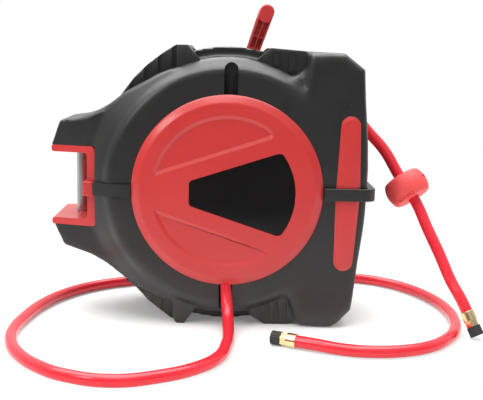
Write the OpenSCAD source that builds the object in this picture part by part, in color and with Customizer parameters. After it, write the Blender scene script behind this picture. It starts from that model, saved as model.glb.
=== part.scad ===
// Wall-mounted air hose reel with a sprung drum, a feed hose and an outlet hose.
// +Z is up and the front faces -Y. The origin is on the floor under the middle of the case.

/* [Case] */
// From the drum axis to the tips of the yoke arms
reach_left = 185; // [180:1:200]
// From the drum axis to the corner of the waist band
reach_right = 152; // [150:1:160]
// Height of the drum axis over the floor
axis_z = 145; // [145:1:150]
// Radius of the middle of the case
body_r = 144; // [140:1:145]
// Half depth of the middle of the case
body_d = 45; // [42:1:50]
// Radius of the raised ring on each face
ring_r = 134; // [130:1:137]
// Half depth of the case at the ring and the outlet block
ring_d = 75; // [72:1:82]
// Rounding of the ring's outer edge
ring_round = 18; // [10:1:20]
// Half depth of the lugs and feet
lug_d = 60; // [52:1:64]
// Half depth of the yoke arms where they leave the ring
arm_d = 54; // [50:1:58]
// Half depth of the yoke arms at their tips
tip_d = 40; // [34:1:46]
// Right side of the case, from the drum axis
block_x = 144; // [142:1:146]
// Chamfer round the front of the outlet block
block_chamfer = 7; // [3:1:10]
// Wall of the moulded case
wall = 3; // [2.5:0.5:4]

/* [Covers] */
// Radius of the round side covers
cover_r = 98; // [92:1:102]
// How far the covers' middle lies below the drum axis
cover_drop = 1.7; // [0:0.1:3]
// How far a side cover stands out of the ring
cover_proud = 6; // [4:0.5:9]
// Width of the cover's sloping rim
cover_rim = 8; // [5:0.5:12]
// Thickness of the cover
cover_t = 2.5; // [2:0.5:3.5]
// Depth of the sunk fields in the cover
field_depth = 1.2; // [0.6:0.1:2]
// Radius of the arc that bounds the sunk fields
field_r = 77.5; // [70:0.5:82]
// Radius of the wide end of the dark insert
insert_r = 69.5; // [60:0.5:72]
// Thickness of the insert
insert_t = 1.6; // [1:0.2:2.4]
// How far the belt line lies below the drum axis
belt_drop = 3; // [0:0.5:6]

/* [Trim] */
// Height of the waist band
band_h = 13; // [9:1:18]
// Thickness of the waist band
band_t = 3; // [2:0.5:4]
// Thickness of the red side stripe
stripe_t = 2; // [1.5:0.5:3]
// Width of the red side stripe
stripe_w = 25; // [18:1:27]
// Length of the red side stripe
stripe_l = 160; // [120:5:180]

/* [Yoke] */
// Height of the gap between the yoke arms
yoke_gap = 70; // [60:1:76]
// Depth of the gap, from the arm tips
yoke_depth = 39; // [34:0.5:40]
// Thickness of the yoke's liner
liner_t = 7; // [5:0.5:8]
// Thickness of the liner at the end of the gap
liner_web = 8.5; // [6:0.5:10]
// Diameter of the swivel pin
pin_d = 11; // [8:0.5:14]
// From the arm tips to the swivel pin's axis
pin_in = 25.5; // [22:0.5:27]
// How deep the pin sits in each arm
pin_seat = 12; // [8:1:16]

/* [Drum] */
// Outer radius of the drum's core
core_r = 45; // [42:1:50]
// Radius of the drum's flanges
flange_r = 108; // [100:1:120]
// Thickness of the flanges
flange_t = 3; // [2:0.5:4]
// Room between the flanges
spool_w = 86; // [80:1:88]
// Radius of the wound hose
winding_r = 81; // [70:1:82]
// Diameter of the fixed axle
axle_d = 20; // [18:0.5:22]
// Number of teeth of the ratchet
ratchet_teeth = 12; // [8:1:16]
// Radius of the ratchet's tooth tips
ratchet_r = 62; // [58:1:66]
// Number of turns of the power spring
spring_turns = 7; // [5:1:9]
// Width of the power spring
spring_w = 36; // [24:1:38]

/* [Hose] */
// Outer diameter of the hose
hose_d = 12; // [10:0.5:13]
// Wall of the hose
hose_wall = 2; // [1.5:0.25:2.5]
// Largest diameter of the stop ball
ball_d = 44; // [42:1:52]
// Length of the stop ball along the hose
ball_l = 26; // [24:1:32]

/* [Handle] */
// From the handle's pivot to the top of its grip
handle_h = 52; // [46:1:60]
// Half width of the handle, along the depth of the case
handle_d = 32; // [28:1:34]
// Lean of the handle at rest
handle_lean = 17; // [12:1:20]

/* [Fits] */
// Gap round a part that turns
run_gap = 0.05; // [0.03:0.01:0.1]
// Gap between pieces that move past each other
clear = 0.6; // [0.4:0.1:1]
// Gap round a piece that is set in another
seat_gap = 0.1; // [0.05:0.05:0.2]

/* [Hidden] */
$fn = 64;

// Colours of the mouldings and metals
case_black = [0.09, 0.09, 0.1];
gloss_black = [0.02, 0.02, 0.02];
coral_red = [0.85, 0.2, 0.19];
hose_red = [0.86, 0.1, 0.14];
brass = [0.8, 0.6, 0.25];
steel = [0.62, 0.63, 0.65];
cap_black = [0.07, 0.07, 0.07];
nylon_grey = [0.45, 0.46, 0.48];

// Places that follow from the driving sizes
eps = 0.01;
far = 300;
drum_x = (reach_left - reach_right) / 2;
belt_v = -belt_drop;
cover_v = -cover_drop;
hose_r = hose_d / 2;
face_room = 18;
cavity_d = ring_d - face_room;
floor_t = wall;
recess_d = cavity_d + floor_t;
cover_lap = 2;
recess_r = cover_r - cover_lap;
face_d = ring_d + cover_proud;
channel_gap = 1;
channel_sink = 4;
channel_r = hose_r + channel_gap;
channel_d = ring_d - channel_sink;
channel_end = ring_r - channel_sink - channel_r;
groove_u = 2;
arm_top = belt_v + yoke_gap / 2 + liner_t;
arm_low = belt_v - yoke_gap / 2 - liner_t;
yoke_u = -reach_left + yoke_depth + liner_web;
pin_u = -reach_left + pin_in;
axle_r = axle_d / 2;
spool_d = spool_w / 2;
boss_l = 7;
boss_d = cavity_d - boss_l;
axle_stub = 4;
axle_end = recess_d + axle_stub;
boss_wall = 6;
strap_lap = 1;
strap_end = yoke_u - strap_lap;

// Local frame of a face: x to the right, y up and z out of the face, from the drum axis
module face_frame() {
    translate([drum_x, 0, axis_z]) rotate([90, 0, 0]) children();
}

module rear_of() {
    mirror([0, 1, 0]) children();
}

// A round bar along the local x, y or z axis
module bar_z(r, z0, z1) {
    translate([0, 0, z0]) cylinder(r = r, h = z1 - z0);
}

module bar_y(r, y0, y1) {
    translate([0, y0, 0]) rotate([-90, 0, 0]) cylinder(r = r, h = y1 - y0);
}

module bar_x(r, x0, x1) {
    translate([x0, 0, 0]) rotate([0, 90, 0]) cylinder(r = r, h = x1 - x0);
}

module pipe_z(r, bore, z0, z1) {
    difference() {
        bar_z(r, z0, z1);
        bar_z(bore, z0 - 1, z1 + 1);
    }
}

module slab(low, high) {
    translate(low) cube(high - low);
}

// Outlines of the case, seen from the front
upper_arm = [[-ring_r + 76, 121], [-ring_r + 62.5, 116], [-ring_r + 45, 106], [-ring_r + 27, 96],
    [-ring_r + 19, arm_top + 50.5], [-ring_r + 10.5, arm_top + 44],
    [-ring_r - 6, arm_top + 34], [-reach_left + 28, arm_top + 27], [-reach_left + 9.5, arm_top + 23],
    [-reach_left, arm_top]];
lower_arm = [[-reach_left + 2, arm_low], [-reach_left + 13, arm_low - 22],
    [-reach_left + 27, arm_low - 26], [-ring_r - 7, arm_low - 31.5], [-ring_r + 10, arm_low - 41.5],
    [-ring_r + 27, arm_low - 55], [-ring_r + 48, -112], [-ring_r + 62.5, -118.5], [-ring_r + 76, -121.5]];
yoke_outline = concat(upper_arm, lower_arm);
upper_left_rib = [[-112, body_r - 52], [-98.5, body_r - 34], [-84, body_r - 19.5], [-69, body_r - 8],
    [-55, body_r + 1], [-45, body_r + 1], [-45, body_r - 34], [-100, body_r - 64]];
upper_left_lug = [[-53.5, body_r - 34], [-53.5, body_r], [-52, body_r + 1], [-43, body_r + 1],
    [-29.5, body_r - 14], [-29.5, body_r - 34]];
upper_right_lug = [[27, body_r - 13], [43, body_r - 0.5], [78, body_r - 3], [88, body_r - 34],
    [27, body_r - 34]];
left_foot_rib = [[-107, 42 - axis_z], [-96, 34.5 - axis_z], [-83, 20 - axis_z], [-68, 8 - axis_z],
    [-57, -axis_z], [-45, -axis_z], [-45, 30 - axis_z], [-80, 45 - axis_z]];
left_foot = [[-55.5, 27 - axis_z], [-55, 5 - axis_z], [-52, -axis_z], [-43, -axis_z], [-32, 15 - axis_z],
    [-32, 27 - axis_z]];
right_foot = [[25, 10 - axis_z], [41, -axis_z], [82, -axis_z], [82, 35 - axis_z], [25, 30 - axis_z]];
block = [[block_x - 64, 141], [block_x - 28, 139.5], [block_x - 7, 123.5], [block_x - 5, 93],
    [block_x - 1, 50], [block_x, 22], [block_x - 1, -22], [block_x - 2.5, -41], [block_x - 7.5, -75],
    [block_x - 12, 35 - axis_z], [block_x - 14.5, 18 - axis_z], [block_x - 29, 4 - axis_z],
    [block_x - 36, -axis_z], [block_x - 68, -axis_z], [block_x - 84, 45 - axis_z]];

// Slope of the yoke arms and the cone that leads from the ring down to them
arm_slope = atan((arm_d - tip_d) / (yoke_u + reach_left));
root_run = 12;
root_rise = 11;
ring_stop = block_x - 12;

// Flutes in the fronts of the ribs and of the right foot: left x, lower y, upper y and the depth of the front
rib_d = body_d + 3;
right_foot_d = lug_d + 4;
flute_w = 4.5;
flute_t = 3;
flutes = [for (x = [-102.3 : 14.3 : -59]) [x, body_r - 60, body_r + 2, rib_d],
    for (x = [34 : 9 : 62]) [x, -axis_z - 5, 25 - axis_z, right_foot_d],
    for (x = [-90 : 11 : -66]) [x, 5 - axis_z, 45 - axis_z, rib_d]];
emboss_t = 1;
embosses = [[44, body_r - 19, 50, body_r - 6], [60, body_r - 24, 66, body_r - 6]];

// Valley in the top of the case, where the handle folds
valley_low = body_r - 18;
valley_d = handle_d + 2;
valley_left = -40;
valley_right = 46;
handle_u = 23;
handle_v = body_r - 8;

// Outlet mouth in the right side
mouth_v = 70;
mouth_h = 60;
mouth_w = 50;
mouth_wall = 4;
mouth_deep = 27;
mouth_set = 1;
mouth_in = block_x - mouth_deep;
mouth_out = block_x - mouth_set;
roller_r = 5;
roller_pin_r = 2;
roller_gap = 1;
level_roller_in = 19;
upright_roller_in = 7;
level_roller_u = mouth_in + level_roller_in;
level_roller_v = mouth_h / 2 - mouth_wall - roller_r - roller_gap;
upright_roller_u = mouth_in + upright_roller_in;
upright_roller_d = mouth_w / 2 - mouth_wall - roller_r - roller_gap;

// Screws that join the halves: x, y and the depth of the head's seat
screw_r = 2;
screw_head_r = 4;
screw_head_t = 3;
screw_bite = 12;
arm_seat = tip_d - 12;
lug_seat = lug_d - 14;
rib_seat = rib_d - 14;
foot_d = 67;
screws = [[-reach_left + 11, arm_top + 11, arm_seat], [-reach_left + 12, arm_low - 10, arm_seat],
    [-70, body_r - 16, rib_seat], [62, body_r - 13, lug_seat], [-44, 11 - axis_z, lug_seat],
    [58, 9 - axis_z, lug_seat], [block_x - 22, 122, lug_seat], [block_x - 29, 20 - axis_z, lug_seat]];

module plate(outline, depth) {
    linear_extrude(depth) polygon(outline);
}

// Half profile of a ring with a round outer edge
module ring_profile(r, depth, round) {
    square([r - round, depth]);
    square([r, depth - round]);
    translate([r - round, depth - round]) intersection() {
        circle(round);
        square(round);
    }
}

module ring_solid(r, depth, round) {
    rotate_extrude($fn = 128) ring_profile(r, depth, round);
}

module block_solid(grow, depth) {
    hull() {
        linear_extrude(depth - block_chamfer) offset(delta = grow, $fn = 32) polygon(block);
        linear_extrude(depth) offset(delta = grow - block_chamfer, $fn = 32) polygon(block);
    }
}

// All that lies under the sloping fronts of the yoke arms, raised by grow
module under_arm_fronts(grow) {
    translate([-reach_left, 0, tip_d + grow]) rotate([0, -arm_slope, 0])
        slab([-far, -far, -2 * far], [2 * far, far, 0]);
}

module arms() {
    intersection() {
        plate(yoke_outline, arm_d);
        under_arm_fronts(0);
    }
    intersection() {
        plate(yoke_outline, ring_d);
        translate([0, 0, arm_d]) cylinder(r1 = ring_r + root_run, r2 = ring_r - 2, h = root_rise, $fn = 128);
    }
}

// The ring, the yoke arms and the middle of the case
module ring_and_arms() {
    intersection() {
        union() {
            cylinder(r = body_r, h = body_d, $fn = 128);
            ring_solid(ring_r, ring_d, ring_round);
            arms();
        }
        slab([-far, -far, 0], [ring_stop, far, far]);
    }
}

module lugs() {
    plate(upper_left_rib, rib_d);
    plate(left_foot_rib, rib_d);
    plate(upper_left_lug, lug_d);
    plate(left_foot, foot_d);
    plate(upper_right_lug, lug_d);
    plate(right_foot, right_foot_d);
    for (e = embosses) slab([e[0], e[1], lug_d - eps], [e[2], e[3], lug_d + emboss_t]);
}

module half_outside() {
    ring_and_arms();
    block_solid(0, ring_d);
    lugs();
}

module half_inside() {
    difference() {
        union() {
            intersection() {
                union() {
                    bar_z(body_r - wall, -1, body_d - wall);
                    bar_z(ring_r - wall, -1, cavity_d);
                    ring_solid(ring_r - wall, ring_d - wall, ring_round - wall);
                }
                slab([yoke_u + wall, -far, -1], [ring_stop - wall, far, far]);
            }
            translate([0, 0, -1]) block_solid(-wall, ring_d - wall + 1);
        }
        slab([valley_left - wall, valley_low - wall, -2], [valley_right + wall, far, valley_d + wall]);
        translate([0, cover_v, 0]) bar_z(recess_r + wall, cavity_d, far);
        for (side = [-1, 1])
            slab([-channel_r - wall, side * (ring_r + recess_r) / 2 - ring_r / 2, cavity_d],
                [channel_r + groove_u + wall, side * (ring_r + recess_r) / 2 + ring_r / 2, far]);
        for (s = screws) translate([s[0], s[1], 0]) bar_z(screw_head_r + 2, -2, far);
    }
}

// Half-round hose channels: an empty groove above the cover and the hose's channel below it
module hose_channels() {
    start = recess_r - wall;
    translate([groove_u, 0, channel_d]) {
        bar_y(channel_r, start, channel_end);
        slab([-channel_r, start, 0], [channel_r, channel_end, far]);
        translate([0, channel_end, 0]) sphere(channel_r);
        translate([0, channel_end, 0]) bar_z(channel_r, 0, far);
    }
    translate([0, 0, channel_d]) {
        bar_y(channel_r, -far, -start);
        slab([-channel_r, -far, 0], [channel_r, -start, far]);
    }
}

module mouth_cut() {
    slab([mouth_in, mouth_v - mouth_h / 2 - seat_gap, -mouth_w / 2 - seat_gap],
        [far, mouth_v + mouth_h / 2 + seat_gap, mouth_w / 2 + seat_gap]);
}

// Half of the case, with its front at +z
module half_shell() {
    difference() {
        union() {
            difference() {
                half_outside();
                half_inside();
            }
            bar_z(axle_r + boss_wall, boss_d, recess_d);
        }
        translate([0, cover_v, 0]) bar_z(recess_r, recess_d, far);
        hose_channels();
        mouth_cut();
        bar_z(axle_r + seat_gap, 0, far);
        slab([valley_left, valley_low, -1], [valley_right, far, valley_d]);
        translate([handle_u, handle_v, 0]) bar_z(handle_pin_r + seat_gap, 0, valley_d + wall);
        slab([-far, arm_low, -1], [yoke_u, arm_top, far]);
        translate([pin_u, 0, 0]) bar_y(pin_d / 2 + run_gap, arm_low - pin_seat, arm_top + pin_seat);
        for (f = flutes) slab([f[0], f[1], f[3] - flute_t], [f[0] + flute_w, f[2], f[3] + eps]);
    }
}

module front_shell() {
    color(case_black) face_frame() difference() {
        half_shell();
        for (s = screws) translate([s[0], s[1], 0]) bar_z(screw_r + seat_gap, -1, screw_bite + 2);
    }
}

module rear_shell() {
    color(case_black) rear_of() face_frame() difference() {
        union() {
            half_shell();
            translate([pawl_u, pawl_v, 0]) bar_z(pawl_hub_r, ratchet_d + ratchet_t + clear, recess_d);
        }
        translate([pawl_u, pawl_v, 0]) bar_z(pawl_pin_r + seat_gap, 0, recess_d - 1);
        for (s = screws) translate([s[0], s[1], 0]) {
            bar_z(screw_r + seat_gap, -1, far);
            bar_z(screw_head_r + seat_gap, s[2], far);
        }
    }
}

module case_screws() {
    color(steel) rear_of() face_frame() for (s = screws) translate([s[0], s[1], 0]) difference() {
        union() {
            bar_z(screw_r, -screw_bite, s[2]);
            bar_z(screw_head_r, s[2], s[2] + screw_head_t);
        }
        translate([0, 0, s[2] + screw_head_t / 2]) cylinder(r = screw_r, h = far, $fn = 6);
    }
}

// Patterns on the round cover, about a line just under its middle
pattern_v = cover_v - 2.2;
insert_left = -39;
insert_half = 12.6;
insert_slope = 0.33;
field_rise = 42;
field_slope = 0.334;
spigot_l = 6;
spigot_t = 2.5;
spigot_r = recess_r - seat_gap;

module insert_outline(gap) {
    intersection() {
        circle(insert_r - gap, $fn = 96);
        polygon([for (p = [[insert_left, 1], [far, 1], [far, -1], [insert_left, -1]])
            [p[0] + (p[0] < 0 ? gap : 0), p[1] * (insert_half - gap + insert_slope * (p[0] - insert_left))]]);
    }
}

module field_outline() {
    for (side = [1, -1]) intersection() {
        translate([0, cover_v - pattern_v]) circle(field_r, $fn = 96);
        polygon([for (p = [[-far, 0], [far, 0], [far, far], [-far, far]])
            [p[0], side * (field_rise + field_slope * p[0] + p[1])]]);
    }
}

module round_cover() {
    rim_in = cover_r - cover_rim;
    difference() {
        translate([0, cover_v, 0]) rotate_extrude($fn = 128) polygon([[0, face_d - cover_t], [0, face_d],
            [rim_in, face_d], [cover_r, ring_d + cover_t - 1], [cover_r, ring_d], [spigot_r, ring_d],
            [spigot_r, ring_d - spigot_l], [spigot_r - spigot_t, ring_d - spigot_l],
            [spigot_r - spigot_t, ring_d], [rim_in - 1, face_d - cover_t]]);
        translate([0, 0, channel_d]) bar_y(channel_r, -far, 2 - rim_in);
        translate([0, pattern_v, face_d - field_depth]) linear_extrude(far) field_outline();
        translate([0, pattern_v, face_d - insert_t]) linear_extrude(far) insert_outline(0);
    }
}

module dark_insert() {
    translate([0, pattern_v, face_d - insert_t]) linear_extrude(insert_t) insert_outline(seat_gap);
}

module front_cover() {
    color(coral_red) face_frame() round_cover();
}

module rear_cover() {
    color(coral_red) rear_of() face_frame() round_cover();
}

module front_insert() {
    color(gloss_black) face_frame() dark_insert();
}

module rear_insert() {
    color(gloss_black) rear_of() face_frame() dark_insert();
}

// Side stripe: a bowed bar with round ends on the front of the outlet block
stripe_in = 20.5;
stripe_taper = 2.5;
stripe_u = block_x - stripe_in;
stripe_end_r = stripe_w / 2 - stripe_taper;

module stripe_outline() {
    reach = stripe_l / 2 - stripe_end_r;
    hull() {
        translate([stripe_u + 0.5, belt_v + reach]) circle(stripe_end_r, $fn = 32);
        translate([stripe_u, belt_v]) circle(stripe_w / 2, $fn = 32);
        translate([stripe_u - stripe_taper, belt_v - reach]) circle(stripe_end_r, $fn = 32);
    }
}

module stripe() {
    translate([0, 0, ring_d]) linear_extrude(stripe_t) stripe_outline();
}

module front_stripe() {
    color(coral_red) face_frame() stripe();
}

module rear_stripe() {
    color(coral_red) rear_of() face_frame() stripe();
}

// Waist band: a hoop round the right side and a strap on each left side
band_d = ring_d + stripe_t + band_t;
band_round = 12;
band_start = cover_r + 1;

module band_plan() {
    difference() {
        union() {
            translate([band_start, -band_d]) square([reach_right - band_round - band_start, 2 * band_d]);
            translate([band_start, band_round - band_d])
                square([reach_right - band_start, 2 * (band_d - band_round)]);
            for (side = [-1, 1])
                translate([reach_right - band_round, side * (band_d - band_round)]) circle(band_round);
        }
        translate([0, -ring_d]) square([block_x, 2 * ring_d]);
    }
}

module right_band() {
    color(case_black) difference() {
        translate([drum_x, 0, axis_z + belt_v - band_h / 2]) linear_extrude(band_h) band_plan();
        face_frame() stripe();
        rear_of() face_frame() stripe();
    }
}

strap_bend = ring_round - ring_r;
strap_low = ring_d - 7;

module left_strap() {
    difference() {
        translate([0, belt_v + band_h / 2, 0]) rotate([90, 0, 0]) linear_extrude(band_h) polygon([
            [-band_start, ring_d - 1], [-band_start, ring_d + band_t], [strap_bend, ring_d + band_t],
            [strap_end, strap_low], [strap_end, arm_d + 1]]);
        ring_and_arms();
    }
}

module left_bands() {
    color(case_black) {
        face_frame() left_strap();
        rear_of() face_frame() left_strap();
    }
}

clip_h = band_h + 2;
clip_reach = 12.5;
clip_out = arm_d + 4;
clip_gap = 0.5;
clip_drop = 1.8;

module clip() {
    difference() {
        translate([0, -clip_drop, 0]) slab([yoke_u - clip_reach, belt_v - clip_h / 2, tip_d],
            [strap_end - clip_gap, belt_v + clip_h / 2, clip_out]);
        intersection() {
            slab([yoke_u - liner_web - seat_gap, -far, 0], [far, far, far]);
            under_arm_fronts(seat_gap);
        }
    }
}

module band_clips() {
    color(coral_red) {
        face_frame() clip();
        rear_of() face_frame() clip();
    }
}

// Liner of the yoke and the steel pin that the reel swings on
module yoke_liner() {
    color(coral_red) face_frame() difference() {
        intersection() {
            translate([0, 0, -arm_d]) linear_extrude(2 * arm_d) difference() {
                translate([-reach_left, arm_low]) square([yoke_u + reach_left, arm_top - arm_low]);
                translate([-reach_left - 1, arm_low + liner_t]) square([yoke_depth + 1, yoke_gap]);
            }
            under_arm_fronts(0);
            mirror([0, 0, 1]) under_arm_fronts(0);
        }
        translate([pin_u, 0, 0]) bar_y(pin_d / 2 + run_gap, arm_low - 1, arm_top + 1);
    }
}

module swivel_pin() {
    color(steel) face_frame() translate([pin_u, 0, 0])
        bar_y(pin_d / 2, arm_low - pin_seat + run_gap, arm_top + pin_seat - run_gap);
}

// Outlet mouth: a frame with two level and two upright rollers on steel pins
module outlet_frame() {
    color(coral_red) face_frame() translate([0, mouth_v, 0]) difference() {
        slab([mouth_in, -mouth_h / 2, -mouth_w / 2], [mouth_out, mouth_h / 2, mouth_w / 2]);
        slab([0, mouth_wall - mouth_h / 2, mouth_wall - mouth_w / 2],
            [far, mouth_h / 2 - mouth_wall, mouth_w / 2 - mouth_wall]);
        level_pins(run_gap, 1);
        upright_pins(run_gap, 1);
    }
}

module level_pins(gap, extra) {
    for (side = [-1, 1]) translate([level_roller_u, side * level_roller_v, 0])
        bar_z(roller_pin_r + gap, -mouth_w / 2 - extra, mouth_w / 2 + extra);
}

module upright_pins(gap, extra) {
    for (side = [-1, 1]) translate([upright_roller_u, 0, side * upright_roller_d])
        bar_y(roller_pin_r + gap, -mouth_h / 2 - extra, mouth_h / 2 + extra);
}

module roller_pins() {
    color(steel) face_frame() translate([0, mouth_v, 0]) {
        level_pins(0, 0);
        upright_pins(0, 0);
    }
}

module level_roller(side) {
    half = mouth_w / 2 - mouth_wall - clear;
    color(nylon_grey) face_frame() translate([level_roller_u, mouth_v + side * level_roller_v, 0])
        pipe_z(roller_r, roller_pin_r + run_gap, -half, half);
}

module upright_roller(side) {
    half = mouth_h / 2 - mouth_wall - clear;
    color(nylon_grey) face_frame() translate([upright_roller_u, mouth_v, side * upright_roller_d])
        rotate([-90, 0, 0]) pipe_z(roller_r, roller_pin_r + run_gap, -half, half);
}

module top_roller() {
    level_roller(1);
}

module bottom_roller() {
    level_roller(-1);
}

module front_roller() {
    upright_roller(1);
}

module rear_roller() {
    upright_roller(-1);
}

// Carry handle: two ribbed legs and a grip across the top, on two pivot pins
handle_pin_r = 3;
handle_leg = 14;
handle_leg_t = 8;
handle_grip = 14;
handle_rib = 2;
handle_web = 3;

module handle_leg_outline() {
    difference() {
        union() {
            circle(handle_leg / 2);
            translate([-handle_leg / 2, 0]) square([handle_leg, handle_h - handle_grip / 2]);
            translate([0, handle_h - handle_grip / 2]) circle(handle_leg / 2);
        }
        circle(handle_pin_r + run_gap);
    }
}

// Four blind pockets in the outside of a leg, with ribs between them
module handle_pockets() {
    width = (handle_leg - 3 * handle_rib) / 2;
    height = (handle_h - handle_grip - handle_leg / 2 - 2 * handle_rib) / 2;
    for (x = [-width - handle_rib / 2, handle_rib / 2], y = [0, height + handle_rib])
        translate([x, handle_leg / 2 + y]) square([width, height]);
}

module carry_handle() {
    color(coral_red) face_frame() translate([handle_u, handle_v, 0]) rotate(-handle_lean) {
        for (side = [0, 1]) mirror([0, 0, side]) translate([0, 0, handle_d - handle_leg_t])
            difference() {
                linear_extrude(handle_leg_t) handle_leg_outline();
                translate([0, 0, handle_web]) linear_extrude(handle_leg_t) handle_pockets();
            }
        translate([0, handle_h - handle_grip / 2, 0])
            bar_z(handle_grip / 2, handle_leg_t - handle_d, handle_d - handle_leg_t);
    }
}

module handle_pins() {
    color(steel) face_frame() for (side = [0, 1]) mirror([0, 0, side])
        translate([handle_u, handle_v, 0]) bar_z(handle_pin_r, handle_d - handle_leg_t, valley_d + wall);
}

// Fixed axle, with the air way and the two seals of the swivel joint
sleeve_r = 15;
sleeve_start = 5;
sleeve_end = 36;
air_r = hose_r - hose_wall;
air_d = (sleeve_start + sleeve_end) / 2;
seal_r = 1.2;
seal_apart = 9;
ring_t = 2;
arbor_r = axle_r + 4;

module main_axle() {
    color(steel) face_frame() difference() {
        bar_z(axle_r, -axle_end, axle_end);
        bar_z(air_r, air_d, far);
        translate([0, 0, air_d]) bar_y(air_r, 0, far);
        for (side = [-1, 1]) pipe_z(far, axle_r - 2 * seal_r - 2 * run_gap,
            air_d + side * seal_apart - seal_r - run_gap, air_d + side * seal_apart + seal_r + run_gap);
    }
}

module swivel_seals() {
    color(cap_black) face_frame() for (side = [-1, 1]) translate([0, 0, air_d + side * seal_apart])
        rotate_extrude() translate([axle_r - seal_r - run_gap, 0]) circle(seal_r, $fn = 24);
}

module axle_rings() {
    color(steel) face_frame() for (side = [0, 1]) mirror([0, 0, side])
        pipe_z(axle_r + 4, axle_r + seat_gap, recess_d, recess_d + ring_t);
}

// Brass elbow on the end of the axle, where the feed hose joins
elbow_l = 22;
ferrule_wall = 1;
elbow_r = hose_r + ferrule_wall;
ferrule_r = hose_r + ferrule_wall;
ferrule_l = 10;
inlet_l = 18;

module inlet_elbow() {
    color(brass) face_frame() difference() {
        union() {
            bar_z(elbow_r + 1, axle_end, channel_d + elbow_r);
            translate([0, 0, channel_d]) bar_y(elbow_r, -elbow_l, 0);
        }
        bar_z(air_r, 0, channel_d);
        translate([0, 0, channel_d]) bar_y(air_r, -far, 0);
    }
}

module inlet_ferrule() {
    color(brass) face_frame() translate([0, 0, channel_d]) rotate([90, 0, 0])
        pipe_z(ferrule_r, hose_r + seat_gap, elbow_l, elbow_l + inlet_l);
}

module spring_arbor() {
    color(nylon_grey) face_frame()
        pipe_z(arbor_r, axle_r + seat_gap, bush_d + 1 - spool_d, web_d - clear);
}

// Drum: a core with a web, two flanges, bushes and screws
core_t = 3;
web_d = 2;
bush_wall = 3;
bush_r = axle_r + bush_wall;
bush_d = 3;
collar_r = axle_r + boss_wall;
end_ring_t = 4;
drum_screw_r = 1.5;
drum_screw_circle = core_r - 5.5;
drum_screw_count = 4;

module drum_screw_places() {
    for (side = [0, 1], k = [1 : drum_screw_count]) mirror([0, 0, side])
        rotate((k + 0.5) * 360 / drum_screw_count) translate([drum_screw_circle, 0, 0]) children();
}

module drum_hub() {
    color(nylon_grey) face_frame() difference() {
        union() {
            pipe_z(core_r, core_r - core_t, -spool_d, spool_d);
            pipe_z(core_r - eps, bush_r, web_d, sleeve_start);
            for (side = [0, 1]) mirror([0, 0, side])
                pipe_z(core_r - eps, core_r - 11, spool_d - end_ring_t, spool_d);
        }
        translate([0, 0, air_d]) bar_y(barb_r + seat_gap, 0, far);
        drum_screw_places() bar_z(drum_screw_r + seat_gap, spool_d - end_ring_t - 1, far);
    }
}

module flange() {
    difference() {
        union() {
            pipe_z(flange_r, bush_r + seat_gap, spool_d, spool_d + flange_t);
            pipe_z(flange_r, flange_r - flange_t, spool_d, spool_d + 2 * flange_t);
        }
        drum_screw_places() bar_z(drum_screw_r + seat_gap, 0, far);
    }
}

module front_flange() {
    color(nylon_grey) face_frame() flange();
}

module rear_flange() {
    color(nylon_grey) rear_of() face_frame() flange();
}

module hub_bushes() {
    color(cap_black) face_frame() for (side = [0, 1]) mirror([0, 0, side]) difference() {
        union() {
            bar_z(bush_r, spool_d - bush_d, spool_d + flange_t);
            bar_z(collar_r, spool_d + flange_t, boss_d - clear);
        }
        bar_z(axle_r + run_gap, 0, far);
    }
}

module drum_screws() {
    top = spool_d + flange_t;
    color(steel) face_frame() drum_screw_places() {
        bar_z(drum_screw_r, spool_d - end_ring_t, top);
        bar_z(2 * drum_screw_r, top, top + drum_screw_r);
    }
}

// Rotating half of the swivel joint and the barb that feeds the wound hose
barb_r = 6;

module swivel_sleeve() {
    color(brass) face_frame() difference() {
        pipe_z(sleeve_r, axle_r + run_gap, sleeve_start, sleeve_end);
        translate([0, 0, air_d]) bar_y(air_r, 0, far);
    }
}

module drum_barb() {
    color(brass) face_frame() difference() {
        translate([0, 0, air_d]) bar_y(barb_r, 0, core_r - core_t / 2);
        translate([0, 0, air_d]) bar_y(air_r, -1, far);
        bar_z(sleeve_r + seat_gap, 0, far);
    }
}

module hose_winding() {
    color(hose_red) face_frame()
        pipe_z(winding_r, core_r + seat_gap, clear - spool_d, spool_d - clear);
}

// Power spring: a flat strip wound from the arbor out to the core
spring_t = 1;
spring_steps = 24;
spring_in = arbor_r + clear + spring_t / 2;
spring_out = core_r - core_t - clear + 0.1 - spring_t / 2;

function spring_point(i, side) =
    let (share = i / (spring_turns * spring_steps), a = 360 * i / spring_steps)
    (spring_in + (spring_out - spring_in) * share + side * spring_t / 2) * [cos(a), sin(a)];

module power_spring() {
    last = spring_turns * spring_steps;
    color(steel) face_frame() translate([0, 0, (bush_d + web_d - spool_d - spring_w) / 2])
        linear_extrude(spring_w) polygon([for (i = [0 : last]) spring_point(i, 1),
            for (i = [last : -1 : 0]) spring_point(i, -1)]);
}

// Ratchet on the rear flange and the pawl that drops into it
ratchet_t = 5;
tooth_h = 6;
pawl_at = 200;
pawl_swing = 16;
pawl_r = ratchet_r + 11;
pawl_u = pawl_r * cos(pawl_at);
pawl_v = pawl_r * sin(pawl_at);
pawl_pin_r = 2.5;
pawl_hub_r = 6.5;
pawl_nose = [20, -11];
nose_in = pawl_r - pawl_nose[0] * sin(pawl_swing) + pawl_nose[1] * cos(pawl_swing);
nose_angle = atan((pawl_nose[0] * cos(pawl_swing) + pawl_nose[1] * sin(pawl_swing)) / nose_in);
ratchet_d = spool_d + flange_t;
pawl_outline = [[-2, 6], [12, 5], [pawl_nose[0] + 3, -6], [pawl_nose[0] + 1.5, pawl_nose[1]],
    [pawl_nose[0] - 1.5, pawl_nose[1]], [15, -5], [0, -6]];

function tooth_point(k, share, r) =
    let (a = pawl_at - nose_angle + (k + 0.5 + share) * 360 / ratchet_teeth) r * [cos(a), sin(a)];

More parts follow.
